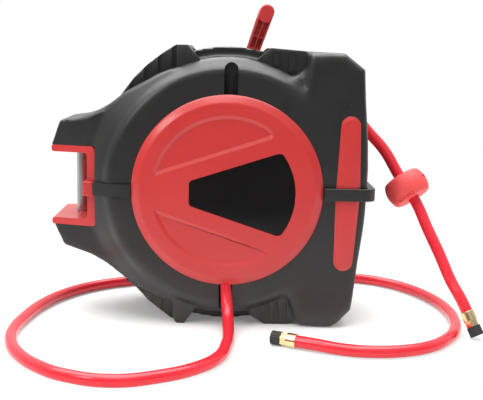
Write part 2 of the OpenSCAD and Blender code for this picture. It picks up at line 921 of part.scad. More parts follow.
module ratchet_ring() {
    color(steel) rear_of() face_frame() translate([0, 0, ratchet_d]) linear_extrude(ratchet_t) difference() {
        polygon([for (k = [0 : ratchet_teeth - 1],
            p = [[-0.3, tooth_h], [-0.18, 0], [0.18, 0], [0.3, tooth_h]])
            tooth_point(k, p[0], ratchet_r - p[1])]);
        circle(core_r + 3);
    }
}

module pawl() {
    color(steel) rear_of() face_frame() translate([pawl_u, pawl_v, ratchet_d + clear]) rotate(pawl_at - 90)
        difference() {
            union() {
                bar_z(pawl_hub_r, 0, ratchet_t - clear);
                linear_extrude(ratchet_t - clear) polygon(pawl_outline);
            }
            bar_z(pawl_pin_r + run_gap, -1, far);
        }
}

module pawl_pin() {
    color(steel) rear_of() face_frame() translate([pawl_u, pawl_v, 0])
        bar_z(pawl_pin_r, ratchet_d + clear, recess_d - 1);
}

// Hoses: routes through points in the order that the air flows, in millimetres
feed_route = [[drum_x, -channel_d, axis_z - elbow_l], [16.5, -71, 53], [16.5, -72, 44], [16.5, -74.8, 35],
    [16.2, -84.7, 20], [15.8, -100, 9.8], [15, -118, 6.3], [12, -150, 6.2], [5, -190, 6.2],
    [-12, -218, 6.2], [-40, -240, 6.2],
    [-78, -253, 6.2], [-121, -241, 6.2], [-146, -222, 6.2], [-170, -192, 6.2],
    [-187, -155, 6.2], [-194, -115, 6.2], [-192, -72, 6.2], [-185, -27, 6.2], [-167, 21, 6.2],
    [-137, 60, 6.2], [-100, 84, 6.2], [-50, 104, 6.2], [10, 118, 6.2], [70, 125, 6.2], [130, 125, 6.2],
    [182, 116, 6.2], [212, 99, 6.2], [237, 69, 6.2], [255, 28, 6.2], [263, -17, 6.2], [261, -62, 6.2],
    [252, -97, 6.2], [237, -125, 6.2], [216, -148, 6.2], [188, -162, 6.2], [158, -166, 6.2],
    [130, -161, 6.2], [104, -150, 7.1], [78, -137, 7.1]];
outlet_route = [[16.5, 0, 232.5], [60, 0, 232.5], [95, 0, 232.5], [118, 0, 232.5], [132, 0, 230.5],
    [145, 0, 225], [155.5, -0.5, 216], [169, -2, 201], [187, -8, 181], [201, -18, 157], [210, -25, 143],
    [219, -32, 129], [230, -46, 103], [241, -61, 78], [251, -76, 53], [260, -89, 36], [268, -98, 17.5]];
tube_sides = 12;

function unit(v) = v / norm(v);
function heading(route, i) = unit(route[min(i + 1, len(route) - 1)] - route[max(i - 1, 0)]);
function side_of(d) = unit(cross(d, abs(d[2]) > 0.9 ? [1, 0, 0] : [0, 0, 1]));
// Carries the ring's first direction along, so that the tube doesn't twist
function carried(route, i) = i == 0 ? side_of(heading(route, 0))
    : let (d = heading(route, i), s = carried(route, i - 1)) unit(s - (s * d) * d);
function tube_ring(route, i, r) = let (d = heading(route, i), s = carried(route, i), t = cross(d, s))
    [for (k = [0 : tube_sides - 1]) let (a = 360 * k / tube_sides) route[i] + r * (cos(a) * s + sin(a) * t)];

module tube(route, r) {
    n = len(route);
    skin = [for (i = [0 : n - 2], k = [0 : tube_sides - 1])
        let (j = (k + 1) % tube_sides, a = i * tube_sides)
        each [[a + k, a + tube_sides + j, a + j], [a + k, a + tube_sides + k, a + tube_sides + j]]];
    ends = [[for (k = [0 : tube_sides - 1]) k],
        [for (k = [tube_sides - 1 : -1 : 0]) (n - 1) * tube_sides + k]];
    polyhedron([for (i = [0 : n - 1]) each tube_ring(route, i, r)], concat(skin, ends), convexity = 10);
}

// Puts its children on a point of a route, with z along the hose
module on_route(point, ahead) {
    translate(point) rotate([0, acos(ahead[2]), atan2(ahead[1], ahead[0])]) children();
}

module at_end(route) {
    n = len(route);
    on_route(route[n - 1], unit(route[n - 1] - route[n - 2])) children();
}

// End fittings, from the end of the hose outwards
hex_r = 7;
hex_l = 6;
thread_r = 4.8;
thread_l = 9;
cap_r = 7;
cap_l = 10;
cap_ribs = 24;
cap_rib_r = 0.5;

module end_ferrule() {
    pipe_z(ferrule_r, hose_r + seat_gap, -ferrule_l, 0);
}

module end_fitting() {
    difference() {
        union() {
            cylinder(r = hex_r, h = hex_l, $fn = 6);
            bar_z(thread_r, hex_l, hex_l + thread_l);
        }
        bar_z(air_r - 1, -1, far);
    }
}

module end_cap() {
    difference() {
        bar_z(cap_r, hex_l, hex_l + cap_l);
        bar_z(thread_r + seat_gap, 0, hex_l + thread_l + seat_gap);
        for (k = [1 : cap_ribs]) rotate(k * 360 / cap_ribs) translate([cap_r + cap_rib_r / 2, 0, 0])
            bar_z(cap_rib_r, 0, hex_l + cap_l - 1);
    }
}

module feed_hose() {
    color(hose_red) tube(feed_route, hose_r);
}

module outlet_hose() {
    color(hose_red) tube(outlet_route, hose_r);
}

module feed_ferrule() {
    color(brass) at_end(feed_route) end_ferrule();
}

module feed_fitting() {
    color(brass) at_end(feed_route) end_fitting();
}

module feed_cap() {
    color(cap_black) at_end(feed_route) end_cap();
}

module outlet_ferrule() {
    color(brass) at_end(outlet_route) end_ferrule();
}

module outlet_fitting() {
    color(brass) at_end(outlet_route) end_fitting();
}

module outlet_cap() {
    color(cap_black) at_end(outlet_route) end_cap();
}

// Stop ball: two halves clamped on the hose by two screws
ball_point = 10;
ball_screw_r = 1.25;
ball_screw_u = hose_r + 6;
ball_screw_seat = 10;
ball_gap = 0.1;
barrel_r = 24;
ball_turn = 141;

module ball_frame() {
    on_route(outlet_route[ball_point], heading(outlet_route, ball_point)) rotate([0, 0, ball_turn])
        children();
}

module ball_solid() {
    difference() {
        rotate_extrude() intersection() {
            translate([ball_d / 2 - barrel_r, 0]) circle(barrel_r);
            translate([0, -ball_l / 2]) square([ball_d, ball_l]);
        }
        bar_z(hose_r + seat_gap, -far, far);
        for (side = [-1, 1]) translate([0, side * ball_screw_u, 0]) {
            bar_x(ball_screw_r + seat_gap, -ball_screw_seat, far);
            bar_x(2 * ball_screw_r + seat_gap, ball_screw_seat, far);
        }
    }
}

module stop_ball_upper() {
    color(coral_red) ball_frame() intersection() {
        ball_solid();
        slab([ball_gap / 2, -far, -far], [far, far, far]);
    }
}

module stop_ball_lower() {
    color(coral_red) ball_frame() intersection() {
        ball_solid();
        slab([-far, -far, -far], [-ball_gap / 2, far, far]);
    }
}

module stop_screws() {
    color(steel) ball_frame() for (side = [-1, 1]) translate([0, side * ball_screw_u, 0]) {
        bar_x(ball_screw_r, -ball_screw_seat, ball_screw_seat);
        bar_x(2 * ball_screw_r, ball_screw_seat, ball_screw_seat + 2 * ball_screw_r);
    }
}

front_shell();
rear_shell();
front_cover();
rear_cover();
front_insert();
rear_insert();
front_stripe();
rear_stripe();
right_band();
left_bands();
band_clips();
yoke_liner();
swivel_pin();
case_screws();
outlet_frame();
roller_pins();
top_roller();
bottom_roller();
front_roller();
rear_roller();
main_axle();
axle_rings();
inlet_elbow();
inlet_ferrule();
swivel_seals();
spring_arbor();
pawl_pin();
pawl();
handle_pins();
carry_handle();
drum_hub();
front_flange();
rear_flange();
ratchet_ring();
hub_bushes();
drum_screws();
swivel_sleeve();
drum_barb();
hose_winding();
power_spring();
feed_hose();
feed_ferrule();
feed_fitting();
feed_cap();
outlet_hose();
stop_ball_upper();
stop_ball_lower();
stop_screws();
outlet_ferrule();
outlet_fitting();
outlet_cap();
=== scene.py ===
# %% [markdown]
# # A sprung air hose reel, dressed for its portrait
# The frame is the CAD model: every piece is there at its real size. This lesson gives it the moulded
# skins, the glossy hoses and the finishes that plain solids don't have. All sizes are in metres in
# Blender, but the reel is drawn in millimetres, so MM turns one into the other.

# %% Load the frame
import math
import bpy
from mathutils import Matrix, Vector


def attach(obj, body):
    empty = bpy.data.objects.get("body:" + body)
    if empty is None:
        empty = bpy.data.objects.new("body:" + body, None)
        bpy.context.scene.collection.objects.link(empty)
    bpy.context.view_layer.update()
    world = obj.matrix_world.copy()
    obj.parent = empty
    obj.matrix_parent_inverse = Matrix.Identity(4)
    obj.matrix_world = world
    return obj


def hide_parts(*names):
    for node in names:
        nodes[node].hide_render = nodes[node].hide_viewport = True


MM = 0.001
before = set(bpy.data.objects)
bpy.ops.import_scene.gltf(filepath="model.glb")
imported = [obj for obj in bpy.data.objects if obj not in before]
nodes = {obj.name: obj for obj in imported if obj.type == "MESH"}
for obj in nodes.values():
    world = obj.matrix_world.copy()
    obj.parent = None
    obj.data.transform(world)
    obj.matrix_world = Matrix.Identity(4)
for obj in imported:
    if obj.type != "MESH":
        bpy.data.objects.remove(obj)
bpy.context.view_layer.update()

# %% [markdown]
# ## The camera
# The picture was taken from about a metre away, at the height of the reel's top, looking slightly down.
# The camera is turned first down, then sideways, then rolled, as a hand-held one is. One long lens keeps
# the reel's round cover round.

# %% Camera
IMAGE_WIDTH = 483
FOCAL_PIXELS = 905
SENSOR = 36
CAMERA_AT = Vector((15.8, -987.4, 285.3)) * MM
LOOK_DOWN = math.radians(9.38)
LOOK_RIGHT = math.radians(0.97)
CAMERA_ROLL = math.radians(1.25)

turn = Matrix.Rotation(-LOOK_RIGHT, 4, "Z") @ Matrix.Rotation(math.pi / 2 - LOOK_DOWN, 4, "X")
turn = turn @ Matrix.Rotation(CAMERA_ROLL, 4, "Z")
bpy.ops.object.select_all(action="DESELECT")
bpy.ops.object.camera_add(location=CAMERA_AT, rotation=turn.to_euler())
camera = bpy.context.object
camera.data.sensor_fit = "HORIZONTAL"
camera.data.sensor_width = SENSOR
camera.data.lens = FOCAL_PIXELS / IMAGE_WIDTH * SENSOR
bpy.context.scene.camera = camera
print("lens:", round(camera.data.lens, 2), "mm")

# %% [markdown]
# ## Node helpers
# A material is a small graph. These helpers add a node, join two sockets and make a plain Principled
# material, so that each finish below says only what is special about it.

# %% Node helpers
def add_node(tree, kind, **values):
    node = tree.nodes.new(kind)
    for name, value in values.items():
        setattr(node, name, value)
    return node


def set_inputs(node, **values):
    for name, value in values.items():
        node.inputs[name.replace("_", " ")].default_value = value
    return node


def join(tree, source, output, target, socket):
    tree.links.new(source.outputs[output], target.inputs[socket])


def new_material(name, **settings):
    material = bpy.data.materials.new(name)
    material.use_nodes = True
    shader = material.node_tree.nodes["Principled BSDF"]
    set_inputs(shader, **settings)
    return material, material.node_tree, shader


def new_group(name, inputs, outputs):
    group = bpy.data.node_groups.new(name, "ShaderNodeTree")
    for socket, kind, value in inputs:
        made = group.interface.new_socket(socket, in_out="INPUT", socket_type=kind)
        made.default_value = value
    for socket, kind in outputs:
        group.interface.new_socket(socket, in_out="OUTPUT", socket_type=kind)
    start = group.nodes.new("NodeGroupInput")
    end = group.nodes.new("NodeGroupOutput")
    return group, start, end


# %% [markdown]
# ## Moulded grain, shared by every plastic
# A moulded part is never one flat colour. The tool leaves a fine grain, the flow of the plastic leaves
# broad pale and dark patches, and hands leave smudges that change the gloss. One group makes all three
# from Object coordinates. Each plastic places it with its own colours, grain size and depth.

# %% Grain group
COLOUR = "NodeSocketColor"
NUMBER = "NodeSocketFloat"
NORMAL = "NodeSocketVector"

grain_group, grain_in, grain_out = new_group(
    "moulded_grain",
    [("Dark", COLOUR, (0.02, 0.02, 0.02, 1)), ("Light", COLOUR, (0.03, 0.03, 0.03, 1)),
     ("Grain Scale", NUMBER, 900.0), ("Grain Depth", NUMBER, 0.1),
     ("Least Roughness", NUMBER, 0.4), ("Most Roughness", NUMBER, 0.55)],
    [("Color", COLOUR), ("Roughness", NUMBER), ("Normal", NORMAL)])
PATCH_SCALE = 14.0
SMUDGE_SCALE = 42.0
GRAIN_HEIGHT = 0.0004
SMUDGE_LOW, SMUDGE_HIGH = 0.3, 0.7

place = add_node(grain_group, "ShaderNodeTexCoord")
patches = set_inputs(add_node(grain_group, "ShaderNodeTexNoise"), Scale=PATCH_SCALE, Detail=3.0)
smudges = set_inputs(add_node(grain_group, "ShaderNodeTexNoise"), Scale=SMUDGE_SCALE, Detail=5.0)
grain = set_inputs(add_node(grain_group, "ShaderNodeTexNoise"), Detail=2.0)
tint = add_node(grain_group, "ShaderNodeMix", data_type="RGBA")
gloss = add_node(grain_group, "ShaderNodeMapRange")
bump = set_inputs(add_node(grain_group, "ShaderNodeBump"), Distance=GRAIN_HEIGHT)
for noise in (patches, smudges, grain):
    join(grain_group, place, "Object", noise, "Vector")
join(grain_group, grain_in, "Grain Scale", grain, "Scale")
grain_group.links.new(patches.outputs["Fac"], tint.inputs["Factor"])
grain_group.links.new(grain_in.outputs["Dark"], tint.inputs[6])
grain_group.links.new(grain_in.outputs["Light"], tint.inputs[7])
grain_group.links.new(tint.outputs[2], grain_out.inputs["Color"])
join(grain_group, smudges, "Fac", gloss, "Value")
set_inputs(gloss, From_Min=SMUDGE_LOW, From_Max=SMUDGE_HIGH)
join(grain_group, grain_in, "Least Roughness", gloss, "To Min")
join(grain_group, grain_in, "Most Roughness", gloss, "To Max")
join(grain_group, gloss, "Result", grain_out, "Roughness")
join(grain_group, grain, "Fac", bump, "Height")
join(grain_group, grain_in, "Grain Depth", bump, "Strength")
join(grain_group, bump, "Normal", grain_out, "Normal")
print("group:", grain_group.name)


def moulded(name, dark, light, roughness, grain_scale, grain_depth, **settings):
    """A moulded plastic with patches between two colours, smudged gloss and a fine grain"""
    material, tree, shader = new_material(name, **settings)
    skin = add_node(tree, "ShaderNodeGroup", node_tree=grain_group)
    set_inputs(skin, Dark=dark + (1,), Light=light + (1,), Grain_Scale=grain_scale, Grain_Depth=grain_depth,
               Least_Roughness=roughness[0], Most_Roughness=roughness[1])
    join(tree, skin, "Color", shader, "Base Color")
    join(tree, skin, "Roughness", shader, "Roughness")
    join(tree, skin, "Normal", shader, "Normal")
    return material


# %% [markdown]
# ## Plastics
# The case is a satin black that reads as charcoal where light skims it. The trim is a coral red with a
# soft gloss, and the stop ball a brighter and duller red. The insert is polished like a screen, the caps
# are a dull soft black and the rollers are grey nylon.

# %% Plastics
case_plastic = moulded(
    "case_plastic", dark=(0.012, 0.0116, 0.0112), light=(0.018, 0.0174, 0.0168), roughness=(0.34, 0.42),
    grain_scale=1400.0, grain_depth=0.2, Specular_IOR_Level=0.65)
red_plastic = moulded(
    "red_plastic", dark=(0.52, 0.032, 0.031), light=(0.58, 0.039, 0.037), roughness=(0.28, 0.36),
    grain_scale=1100.0, grain_depth=0.05, Coat_Weight=0.15, Coat_Roughness=0.2)
ball_plastic = moulded(
    "ball_plastic", dark=(0.78, 0.065, 0.065), light=(0.84, 0.085, 0.083), roughness=(0.5, 0.62),
    grain_scale=900.0, grain_depth=0.08)
insert_gloss = moulded(
    "insert_gloss", dark=(0.006, 0.006, 0.006), light=(0.01, 0.009, 0.009), roughness=(0.08, 0.16),
    grain_scale=300.0, grain_depth=0.02, Specular_IOR_Level=0.2)
cap_plastic = moulded(
    "cap_plastic", dark=(0.02, 0.02, 0.02), light=(0.035, 0.035, 0.035), roughness=(0.5, 0.62),
    grain_scale=1500.0, grain_depth=0.3)
roller_nylon = moulded(
    "roller_nylon", dark=(0.17, 0.175, 0.185), light=(0.22, 0.225, 0.23), roughness=(0.38, 0.5),
    grain_scale=1200.0, grain_depth=0.1)
plastics = (case_plastic, red_plastic, ball_plastic, insert_gloss, cap_plastic, roller_nylon)
print("plastics:", [plastic.name for plastic in plastics])

# %% [markdown]
# ## Hose and metals
# The hose is red polyurethane, drawn out of a die, so its skin is smooth and shines. A low roughness over
# a faintly clouded red gives it that wet look. Brass and steel are metals with drawn or turned marks, so
# their gloss is stretched noise. Each is a graph of its own, because only they need it.

# %% Hose and metals
HOSE_DARK, HOSE_LIGHT = (0.7, 0.02, 0.035), (0.77, 0.027, 0.044)
HOSE_CLOUD_SCALE = 30.0
HOSE_ROUGHNESS = (0.12, 0.22)
TARNISH_SCALE = 55.0
SCRATCH_STRENGTH, SCRATCH_HEIGHT = 0.12, 0.0002


def hose_skin(name):
    material, tree, shader = new_material(name)
    spot = add_node(tree, "ShaderNodeTexCoord")
    cloud = set_inputs(add_node(tree, "ShaderNodeTexNoise"), Scale=HOSE_CLOUD_SCALE, Detail=4.0)
    red = add_node(tree, "ShaderNodeValToRGB")
    shine = add_node(tree, "ShaderNodeMapRange")
    set_inputs(shine, To_Min=HOSE_ROUGHNESS[0], To_Max=HOSE_ROUGHNESS[1])
    red.color_ramp.elements[0].color = HOSE_DARK + (1,)
    red.color_ramp.elements[1].color = HOSE_LIGHT + (1,)
    join(tree, spot, "Object", cloud, "Vector")
    join(tree, cloud, "Fac", red, "Fac")
    join(tree, cloud, "Fac", shine, "Value")
    join(tree, red, "Color", shader, "Base Color")
    join(tree, shine, "Result", shader, "Roughness")
    return material


def drawn_metal(name, dark, light, roughness, stretch):
    """A metal with fine marks, packed along each axis as closely as stretch says"""
    material, tree, shader = new_material(name, Metallic=1.0)
    spot = add_node(tree, "ShaderNodeTexCoord")
    scale = add_node(tree, "ShaderNodeMapping")
    set_inputs(scale, Scale=stretch)
    marks = set_inputs(add_node(tree, "ShaderNodeTexNoise"), Scale=1.0, Detail=6.0)
    tarnish = set_inputs(add_node(tree, "ShaderNodeTexNoise"), Scale=TARNISH_SCALE, Detail=4.0)
    tone = add_node(tree, "ShaderNodeValToRGB")
    dull = set_inputs(add_node(tree, "ShaderNodeMapRange"), To_Min=roughness[0], To_Max=roughness[1])
    scratch = add_node(tree, "ShaderNodeBump")
    set_inputs(scratch, Strength=SCRATCH_STRENGTH, Distance=SCRATCH_HEIGHT)
    tone.color_ramp.elements[0].color = dark + (1,)
    tone.color_ramp.elements[1].color = light + (1,)
    join(tree, spot, "Object", scale, "Vector")
    join(tree, scale, "Vector", marks, "Vector")
    join(tree, spot, "Object", tarnish, "Vector")
    join(tree, tarnish, "Fac", tone, "Fac")
    join(tree, marks, "Fac", dull, "Value")
    join(tree, marks, "Fac", scratch, "Height")
    join(tree, tone, "Color", shader, "Base Color")
    join(tree, dull, "Result", shader, "Roughness")
    join(tree, scratch, "Normal", shader, "Normal")
    return material


red_hose = hose_skin("red_hose")
brass = drawn_metal("brass", (0.82, 0.62, 0.28), (0.95, 0.82, 0.5), (0.16, 0.34), (400, 400, 900))
steel = drawn_metal("steel", (0.42, 0.42, 0.43), (0.62, 0.62, 0.63), (0.24, 0.46), (900, 900, 40))
print("hose and metals:", red_hose.name, brass.name, steel.name)

# %% [markdown]
# ## A pale room
# The reel stands on a white table in soft light. The floor is a pale plane that fades to white in the
# distance, so that no horizon shows, and that keeps a faint shadow near the reel. The table ends not far
# in front of the reel, as the dark upper part of the glossy insert tells. Three lamps do the work: a key
# above on the left, a broad one overhead and a weak one in front. The world is white to the camera, but
# it lights the reel with a dark front and a bright top and back, as a room does.

# %% Floor
FADE_START = 0.13
FADE_END = 0.45
LEAST_FADE = 0.15
FLOOR_SIZE = 14
FRONT_EDGE = -0.68
FRONT_STRETCH = 1.6

bpy.ops.object.select_all(action="DESELECT")
bpy.ops.mesh.primitive_plane_add(size=FLOOR_SIZE, location=(0, FRONT_EDGE + FLOOR_SIZE / 2, 0))
floor = bpy.context.object
floor.name = "floor"
bpy.ops.object.transform_apply(location=True)
floor_white, tree, shader = new_material("floor_white", Base_Color=(0.9, 0.9, 0.89, 1), Roughness=0.7,
                                         Specular_IOR_Level=0.2)
spot = add_node(tree, "ShaderNodeTexCoord")
parts = add_node(tree, "ShaderNodeSeparateXYZ")
near = add_node(tree, "ShaderNodeMath", operation="MULTIPLY")
near.inputs[1].default_value = -FRONT_STRETCH
forward = add_node(tree, "ShaderNodeMath", operation="MAXIMUM")
spread = add_node(tree, "ShaderNodeCombineXYZ")
away = add_node(tree, "ShaderNodeVectorMath", operation="LENGTH")
fade = add_node(tree, "ShaderNodeMapRange", interpolation_type="SMOOTHSTEP")
set_inputs(fade, From_Min=FADE_START, From_Max=FADE_END, To_Min=LEAST_FADE)
rays = add_node(tree, "ShaderNodeLightPath")
sharp_rays = add_node(tree, "ShaderNodeMath", operation="MAXIMUM")
seen_rays = add_node(tree, "ShaderNodeMath", operation="MAXIMUM")
share = add_node(tree, "ShaderNodeMath", operation="MULTIPLY")
glow = set_inputs(add_node(tree, "ShaderNodeEmission"), Color=(1, 1, 1, 1), Strength=1.0)
blend = add_node(tree, "ShaderNodeMixShader")
join(tree, spot, "Object", parts, "Vector")
join(tree, parts, "Y", near, 0)
join(tree, parts, "Y", forward, 0)
join(tree, near, "Value", forward, 1)
join(tree, parts, "X", spread, "X")
join(tree, forward, "Value", spread, "Y")
join(tree, spread, "Vector", away, 0)
join(tree, away, "Value", fade, "Value")
join(tree, rays, "Is Glossy Ray", sharp_rays, 0)
join(tree, rays, "Is Transmission Ray", sharp_rays, 1)
join(tree, rays, "Is Camera Ray", seen_rays, 0)
join(tree, sharp_rays, "Value", seen_rays, 1)
join(tree, fade, "Result", share, 0)
join(tree, seen_rays, "Value", share, 1)
join(tree, share, "Value", blend, "Fac")
join(tree, shader, "BSDF", blend, 1)
join(tree, glow, "Emission", blend, 2)
join(tree, blend, "Shader", tree.nodes["Material Output"], "Surface")
floor.data.materials.append(floor_white)
print("floor:", FLOOR_SIZE, "m wide, from y", FRONT_EDGE, "m")

# %% Lamps
def soft_lamp(name, place, aim, size, power):
    bpy.ops.object.light_add(type="AREA", location=place)
    lamp = bpy.context.object
    lamp.name = name
    lamp.data.size = size
    lamp.data.energy = power
    lamp.rotation_euler = (Vector(aim) - Vector(place)).to_track_quat("-Z", "Y").to_euler()
    print("lamp:", name, power, "W")


REEL_MIDDLE = (0, 0, 0.15)
soft_lamp("key", place=(-1.0, -0.95, 1.05), aim=REEL_MIDDLE, size=0.4, power=5.5)
soft_lamp("overhead", place=(-0.1, 0.1, 1.5), aim=REEL_MIDDLE, size=2.0, power=55.0)
soft_lamp("front_fill", place=(0.5, -1.9, 0.9), aim=REEL_MIDDLE, size=1.4, power=1.8)

# %% World
FRONT_LIGHT, BACK_LIGHT, TOP_LIGHT = 0.08, 0.8, 0.5
BACK_FROM, BACK_TO = -0.6, 0.7
TOP_FROM, TOP_TO = 0.2, 0.9

world = bpy.data.worlds.new("pale_room")
bpy.context.scene.world = world
world.use_nodes = True
tree = world.node_tree
tree.nodes.clear()
heading = add_node(tree, "ShaderNodeTexCoord")
split = add_node(tree, "ShaderNodeSeparateXYZ")
back = add_node(tree, "ShaderNodeMapRange")
set_inputs(back, From_Min=BACK_FROM, From_Max=BACK_TO, To_Min=FRONT_LIGHT, To_Max=BACK_LIGHT)
top = add_node(tree, "ShaderNodeMapRange")
set_inputs(top, From_Min=TOP_FROM, From_Max=TOP_TO, To_Min=0.0, To_Max=TOP_LIGHT)
light = add_node(tree, "ShaderNodeMath", operation="ADD")
room = set_inputs(add_node(tree, "ShaderNodeBackground"), Color=(1, 1, 1, 1))
white = set_inputs(add_node(tree, "ShaderNodeBackground"), Color=(1, 1, 1, 1), Strength=1.0)
rays = add_node(tree, "ShaderNodeLightPath")
chosen = add_node(tree, "ShaderNodeMixShader")
end = add_node(tree, "ShaderNodeOutputWorld")
join(tree, heading, "Generated", split, "Vector")
join(tree, split, "Y", back, "Value")
join(tree, split, "Z", top, "Value")
join(tree, back, "Result", light, 0)
join(tree, top, "Result", light, 1)
join(tree, light, "Value", room, "Strength")
join(tree, rays, "Is Camera Ray", chosen, "Fac")
join(tree, room, "Background", chosen, 1)
join(tree, white, "Background", chosen, 2)
join(tree, chosen, "Shader", end, "Surface")
bpy.context.scene.view_settings.view_transform = "Standard"
print("world:", world.name)

# %% [markdown]
# ## The hoses
# A hose is a fixed length of something springy. The feed hose leaves the swivel under the front cover,
# drops to the table, swings out to the left, goes round behind the case and comes back on the right. The
# outlet hose leaves the drum, bends over the roller and comes down to the table. Both are curves with a
# round bevel, through the CAD model's points, a few of which lie some millimetres to the right near the
# table. A curve keeps its thickness in every bend, which a chain of cylinders would not.

# %% Hoses
HOSE_D = 12 * MM
HOSE_STEPS, HOSE_ROUNDNESS = 8, 7
FEED_ROUTE = [
    (16.5, -71, 123), (16.5, -71, 53), (16.8, -72, 44), (17.6, -74.8, 35), (19, -84.7, 20), (20, -100, 9.8),
    (20.3, -118, 6.3), (18.5, -150, 6.2), (10.5, -190, 6.2), (-8, -218, 6.2), (-38, -240, 6.2),
    (-78, -253, 6.2), (-121, -241, 6.2), (-146, -222, 6.2), (-170, -192, 6.2), (-187, -155, 6.2),
    (-194, -115, 6.2), (-192, -72, 6.2), (-185, -27, 6.2), (-167, 21, 6.2), (-137, 60, 6.2), (-100, 84, 6.2),
    (-50, 104, 6.2), (10, 118, 6.2), (70, 125, 6.2), (130, 125, 6.2), (182, 116, 6.2), (212, 99, 6.2),
    (237, 69, 6.2), (255, 28, 6.2), (263, -17, 6.2), (261, -62, 6.2), (252, -97, 6.2), (237, -125, 6.2),
    (216, -148, 6.2), (188, -162, 6.2), (158, -166, 6.2), (130, -161, 6.2), (104, -150, 7.1),
    (78, -137, 7.1)]
OUTLET_ROUTE = [
    (16.5, 0, 232.5), (60, 0, 232.5), (95, 0, 232.5), (118, 0, 232.5), (132, 0, 230.5), (145, 0, 225),
    (155.5, -0.5, 216), (169, -2, 201), (187, -8, 181), (201, -18, 157), (210, -25, 143), (219, -32, 129),
    (230, -46, 103), (241, -61, 78), (251, -76, 53), (260, -89, 36), (268, -98, 17.5)]


def hose(name, route):
    """A round hose on one smooth curve through the route's points"""
    curve = bpy.data.curves.new(name, "CURVE")
    curve.dimensions = "3D"
    curve.resolution_u = HOSE_STEPS
    curve.bevel_depth = HOSE_D / 2
    curve.bevel_resolution = HOSE_ROUNDNESS
    curve.use_fill_caps = True
    spline = curve.splines.new("BEZIER")
    spline.bezier_points.add(len(route) - 1)
    for point, place in zip(spline.bezier_points, route):
        point.co = Vector(place) * MM
        point.handle_left_type = "AUTO"
        point.handle_right_type = "AUTO"
    spline.use_smooth = True
    piece = bpy.data.objects.new(name, curve)
    bpy.context.collection.objects.link(piece)
    return piece


feed_hose = hose("feed_hose_skin", FEED_ROUTE)
outlet_hose = hose("outlet_hose_skin", OUTLET_ROUTE)
for piece, node in ((feed_hose, "feed_hose"), (outlet_hose, "outlet_hose")):
    piece.data.materials.append(red_hose)
    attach(piece, "case")
    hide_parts(node)
print("hoses:", feed_hose.name, outlet_hose.name)

# %% [markdown]
# ## Tools for modelling
# The case is drawn on its face: u goes right and v up from the drum's axis, and d comes out of the face,
# all in millimetres. A flat plate starts as a filled circle whose corners are moved to an outline and
# extruded. A round part starts as a closed profile that is spun about the drum's axis. Both are then
# ready for modifiers.

# %% Picking and closing
DRUM_X = 16.5
AXIS_Z = 145.0
MERGE_DISTANCE = 1e-6


def on_face(u, v, d):
    return Vector((DRUM_X + u, -d, AXIS_Z + v)) * MM


def choose(*pieces):
    bpy.ops.object.select_all(action="DESELECT")
    for piece in pieces:
        piece.select_set(True)
    bpy.context.view_layer.objects.active = pieces[-1]


def edit(piece):
    choose(piece)
    bpy.ops.object.mode_set(mode="EDIT")
    bpy.ops.mesh.select_all(action="SELECT")


def select_none(piece):
    """Leaves a piece in object mode with nothing of its mesh selected"""
    edit(piece)
    bpy.ops.mesh.select_all(action="DESELECT")
    bpy.ops.object.mode_set(mode="OBJECT")


def close_up():
    """Merges doubles, points the faces outwards and leaves edit mode"""
    bpy.ops.mesh.select_all(action="SELECT")
    bpy.ops.mesh.remove_doubles(threshold=MERGE_DISTANCE)
    bpy.ops.mesh.normals_make_consistent(inside=False)
    bpy.ops.object.mode_set(mode="OBJECT")


def own_copy(piece, name):
    """A copy with a mesh of its own"""
    copy = bpy.data.objects.new(name, piece.data.copy())
    bpy.context.collection.objects.link(copy)
    return copy


def turn_to_rear(piece):
    """Mirrors a front piece to the rear"""
    edit(piece)
    bpy.ops.transform.mirror(constraint_axis=(False, True, False), center_override=(0, 0, 0))
    bpy.ops.mesh.flip_normals()
    bpy.ops.object.mode_set(mode="OBJECT")


# %% Plates, turned parts and rods
SPIN_STEPS = 128
DISC_STEPS = 64


def arc(cx, cy, r, start, end, steps):
    """Points on an arc, in degrees, from start to end"""
    angles = [math.radians(start + (end - start) * i / steps) for i in range(steps + 1)]
    return [(cx + r * math.cos(a), cy + r * math.sin(a)) for a in angles]


def loop_of_points(name, points, fill):
    bpy.ops.object.select_all(action="DESELECT")
    bpy.ops.mesh.primitive_circle_add(vertices=len(points), fill_type=fill)
    piece = bpy.context.object
    piece.name = name
    for vertex, point in zip(piece.data.vertices, points):
        vertex.co = point
    return piece


def plate(name, outline, near, out):
    """A plate with this outline on the face, from depth near to depth out"""
    piece = loop_of_points(name, [on_face(u, v, near) for u, v in outline], "NGON")
    edit(piece)
    bpy.ops.mesh.extrude_region_move(TRANSFORM_OT_translate={"value": (0, (near - out) * MM, 0)})
    close_up()
    return piece


def box(name, u0, u1, v0, v1, d0, d1):
    return plate(name, [(u0, v0), (u1, v0), (u1, v1), (u0, v1)], d0, d1)


def disc(name, u, v, r, d0, d1):
    return plate(name, arc(u, v, r, 0, 360 - 360 / DISC_STEPS, DISC_STEPS - 1), d0, d1)


def turned(name, profile, u=0.0, v=0.0):
    """A round part about an axis through u and v, from a closed profile of radius and depth"""
    piece = loop_of_points(name, [on_face(u + r, v, d) for r, d in profile], "NOTHING")
    edit(piece)
    bpy.ops.mesh.spin(steps=SPIN_STEPS, angle=math.tau, center=on_face(u, v, 0), axis=(0, 1, 0))
    close_up()
    return piece


def rod(radius, length, place, turn=(0, 0, 0), sides=48):
    """A rod with its middle at a place in metres, upright before its turn"""
    bpy.ops.object.select_all(action="DESELECT")
    bpy.ops.mesh.primitive_cylinder_add(vertices=sides, radius=radius * MM, depth=length * MM,
                                        location=place, rotation=turn)
    piece = bpy.context.object
    bpy.ops.object.transform_apply(location=True, rotation=True)
    return piece


# %% Finishing
SMOOTH_ANGLE, CRISP_ANGLE = 35, 30


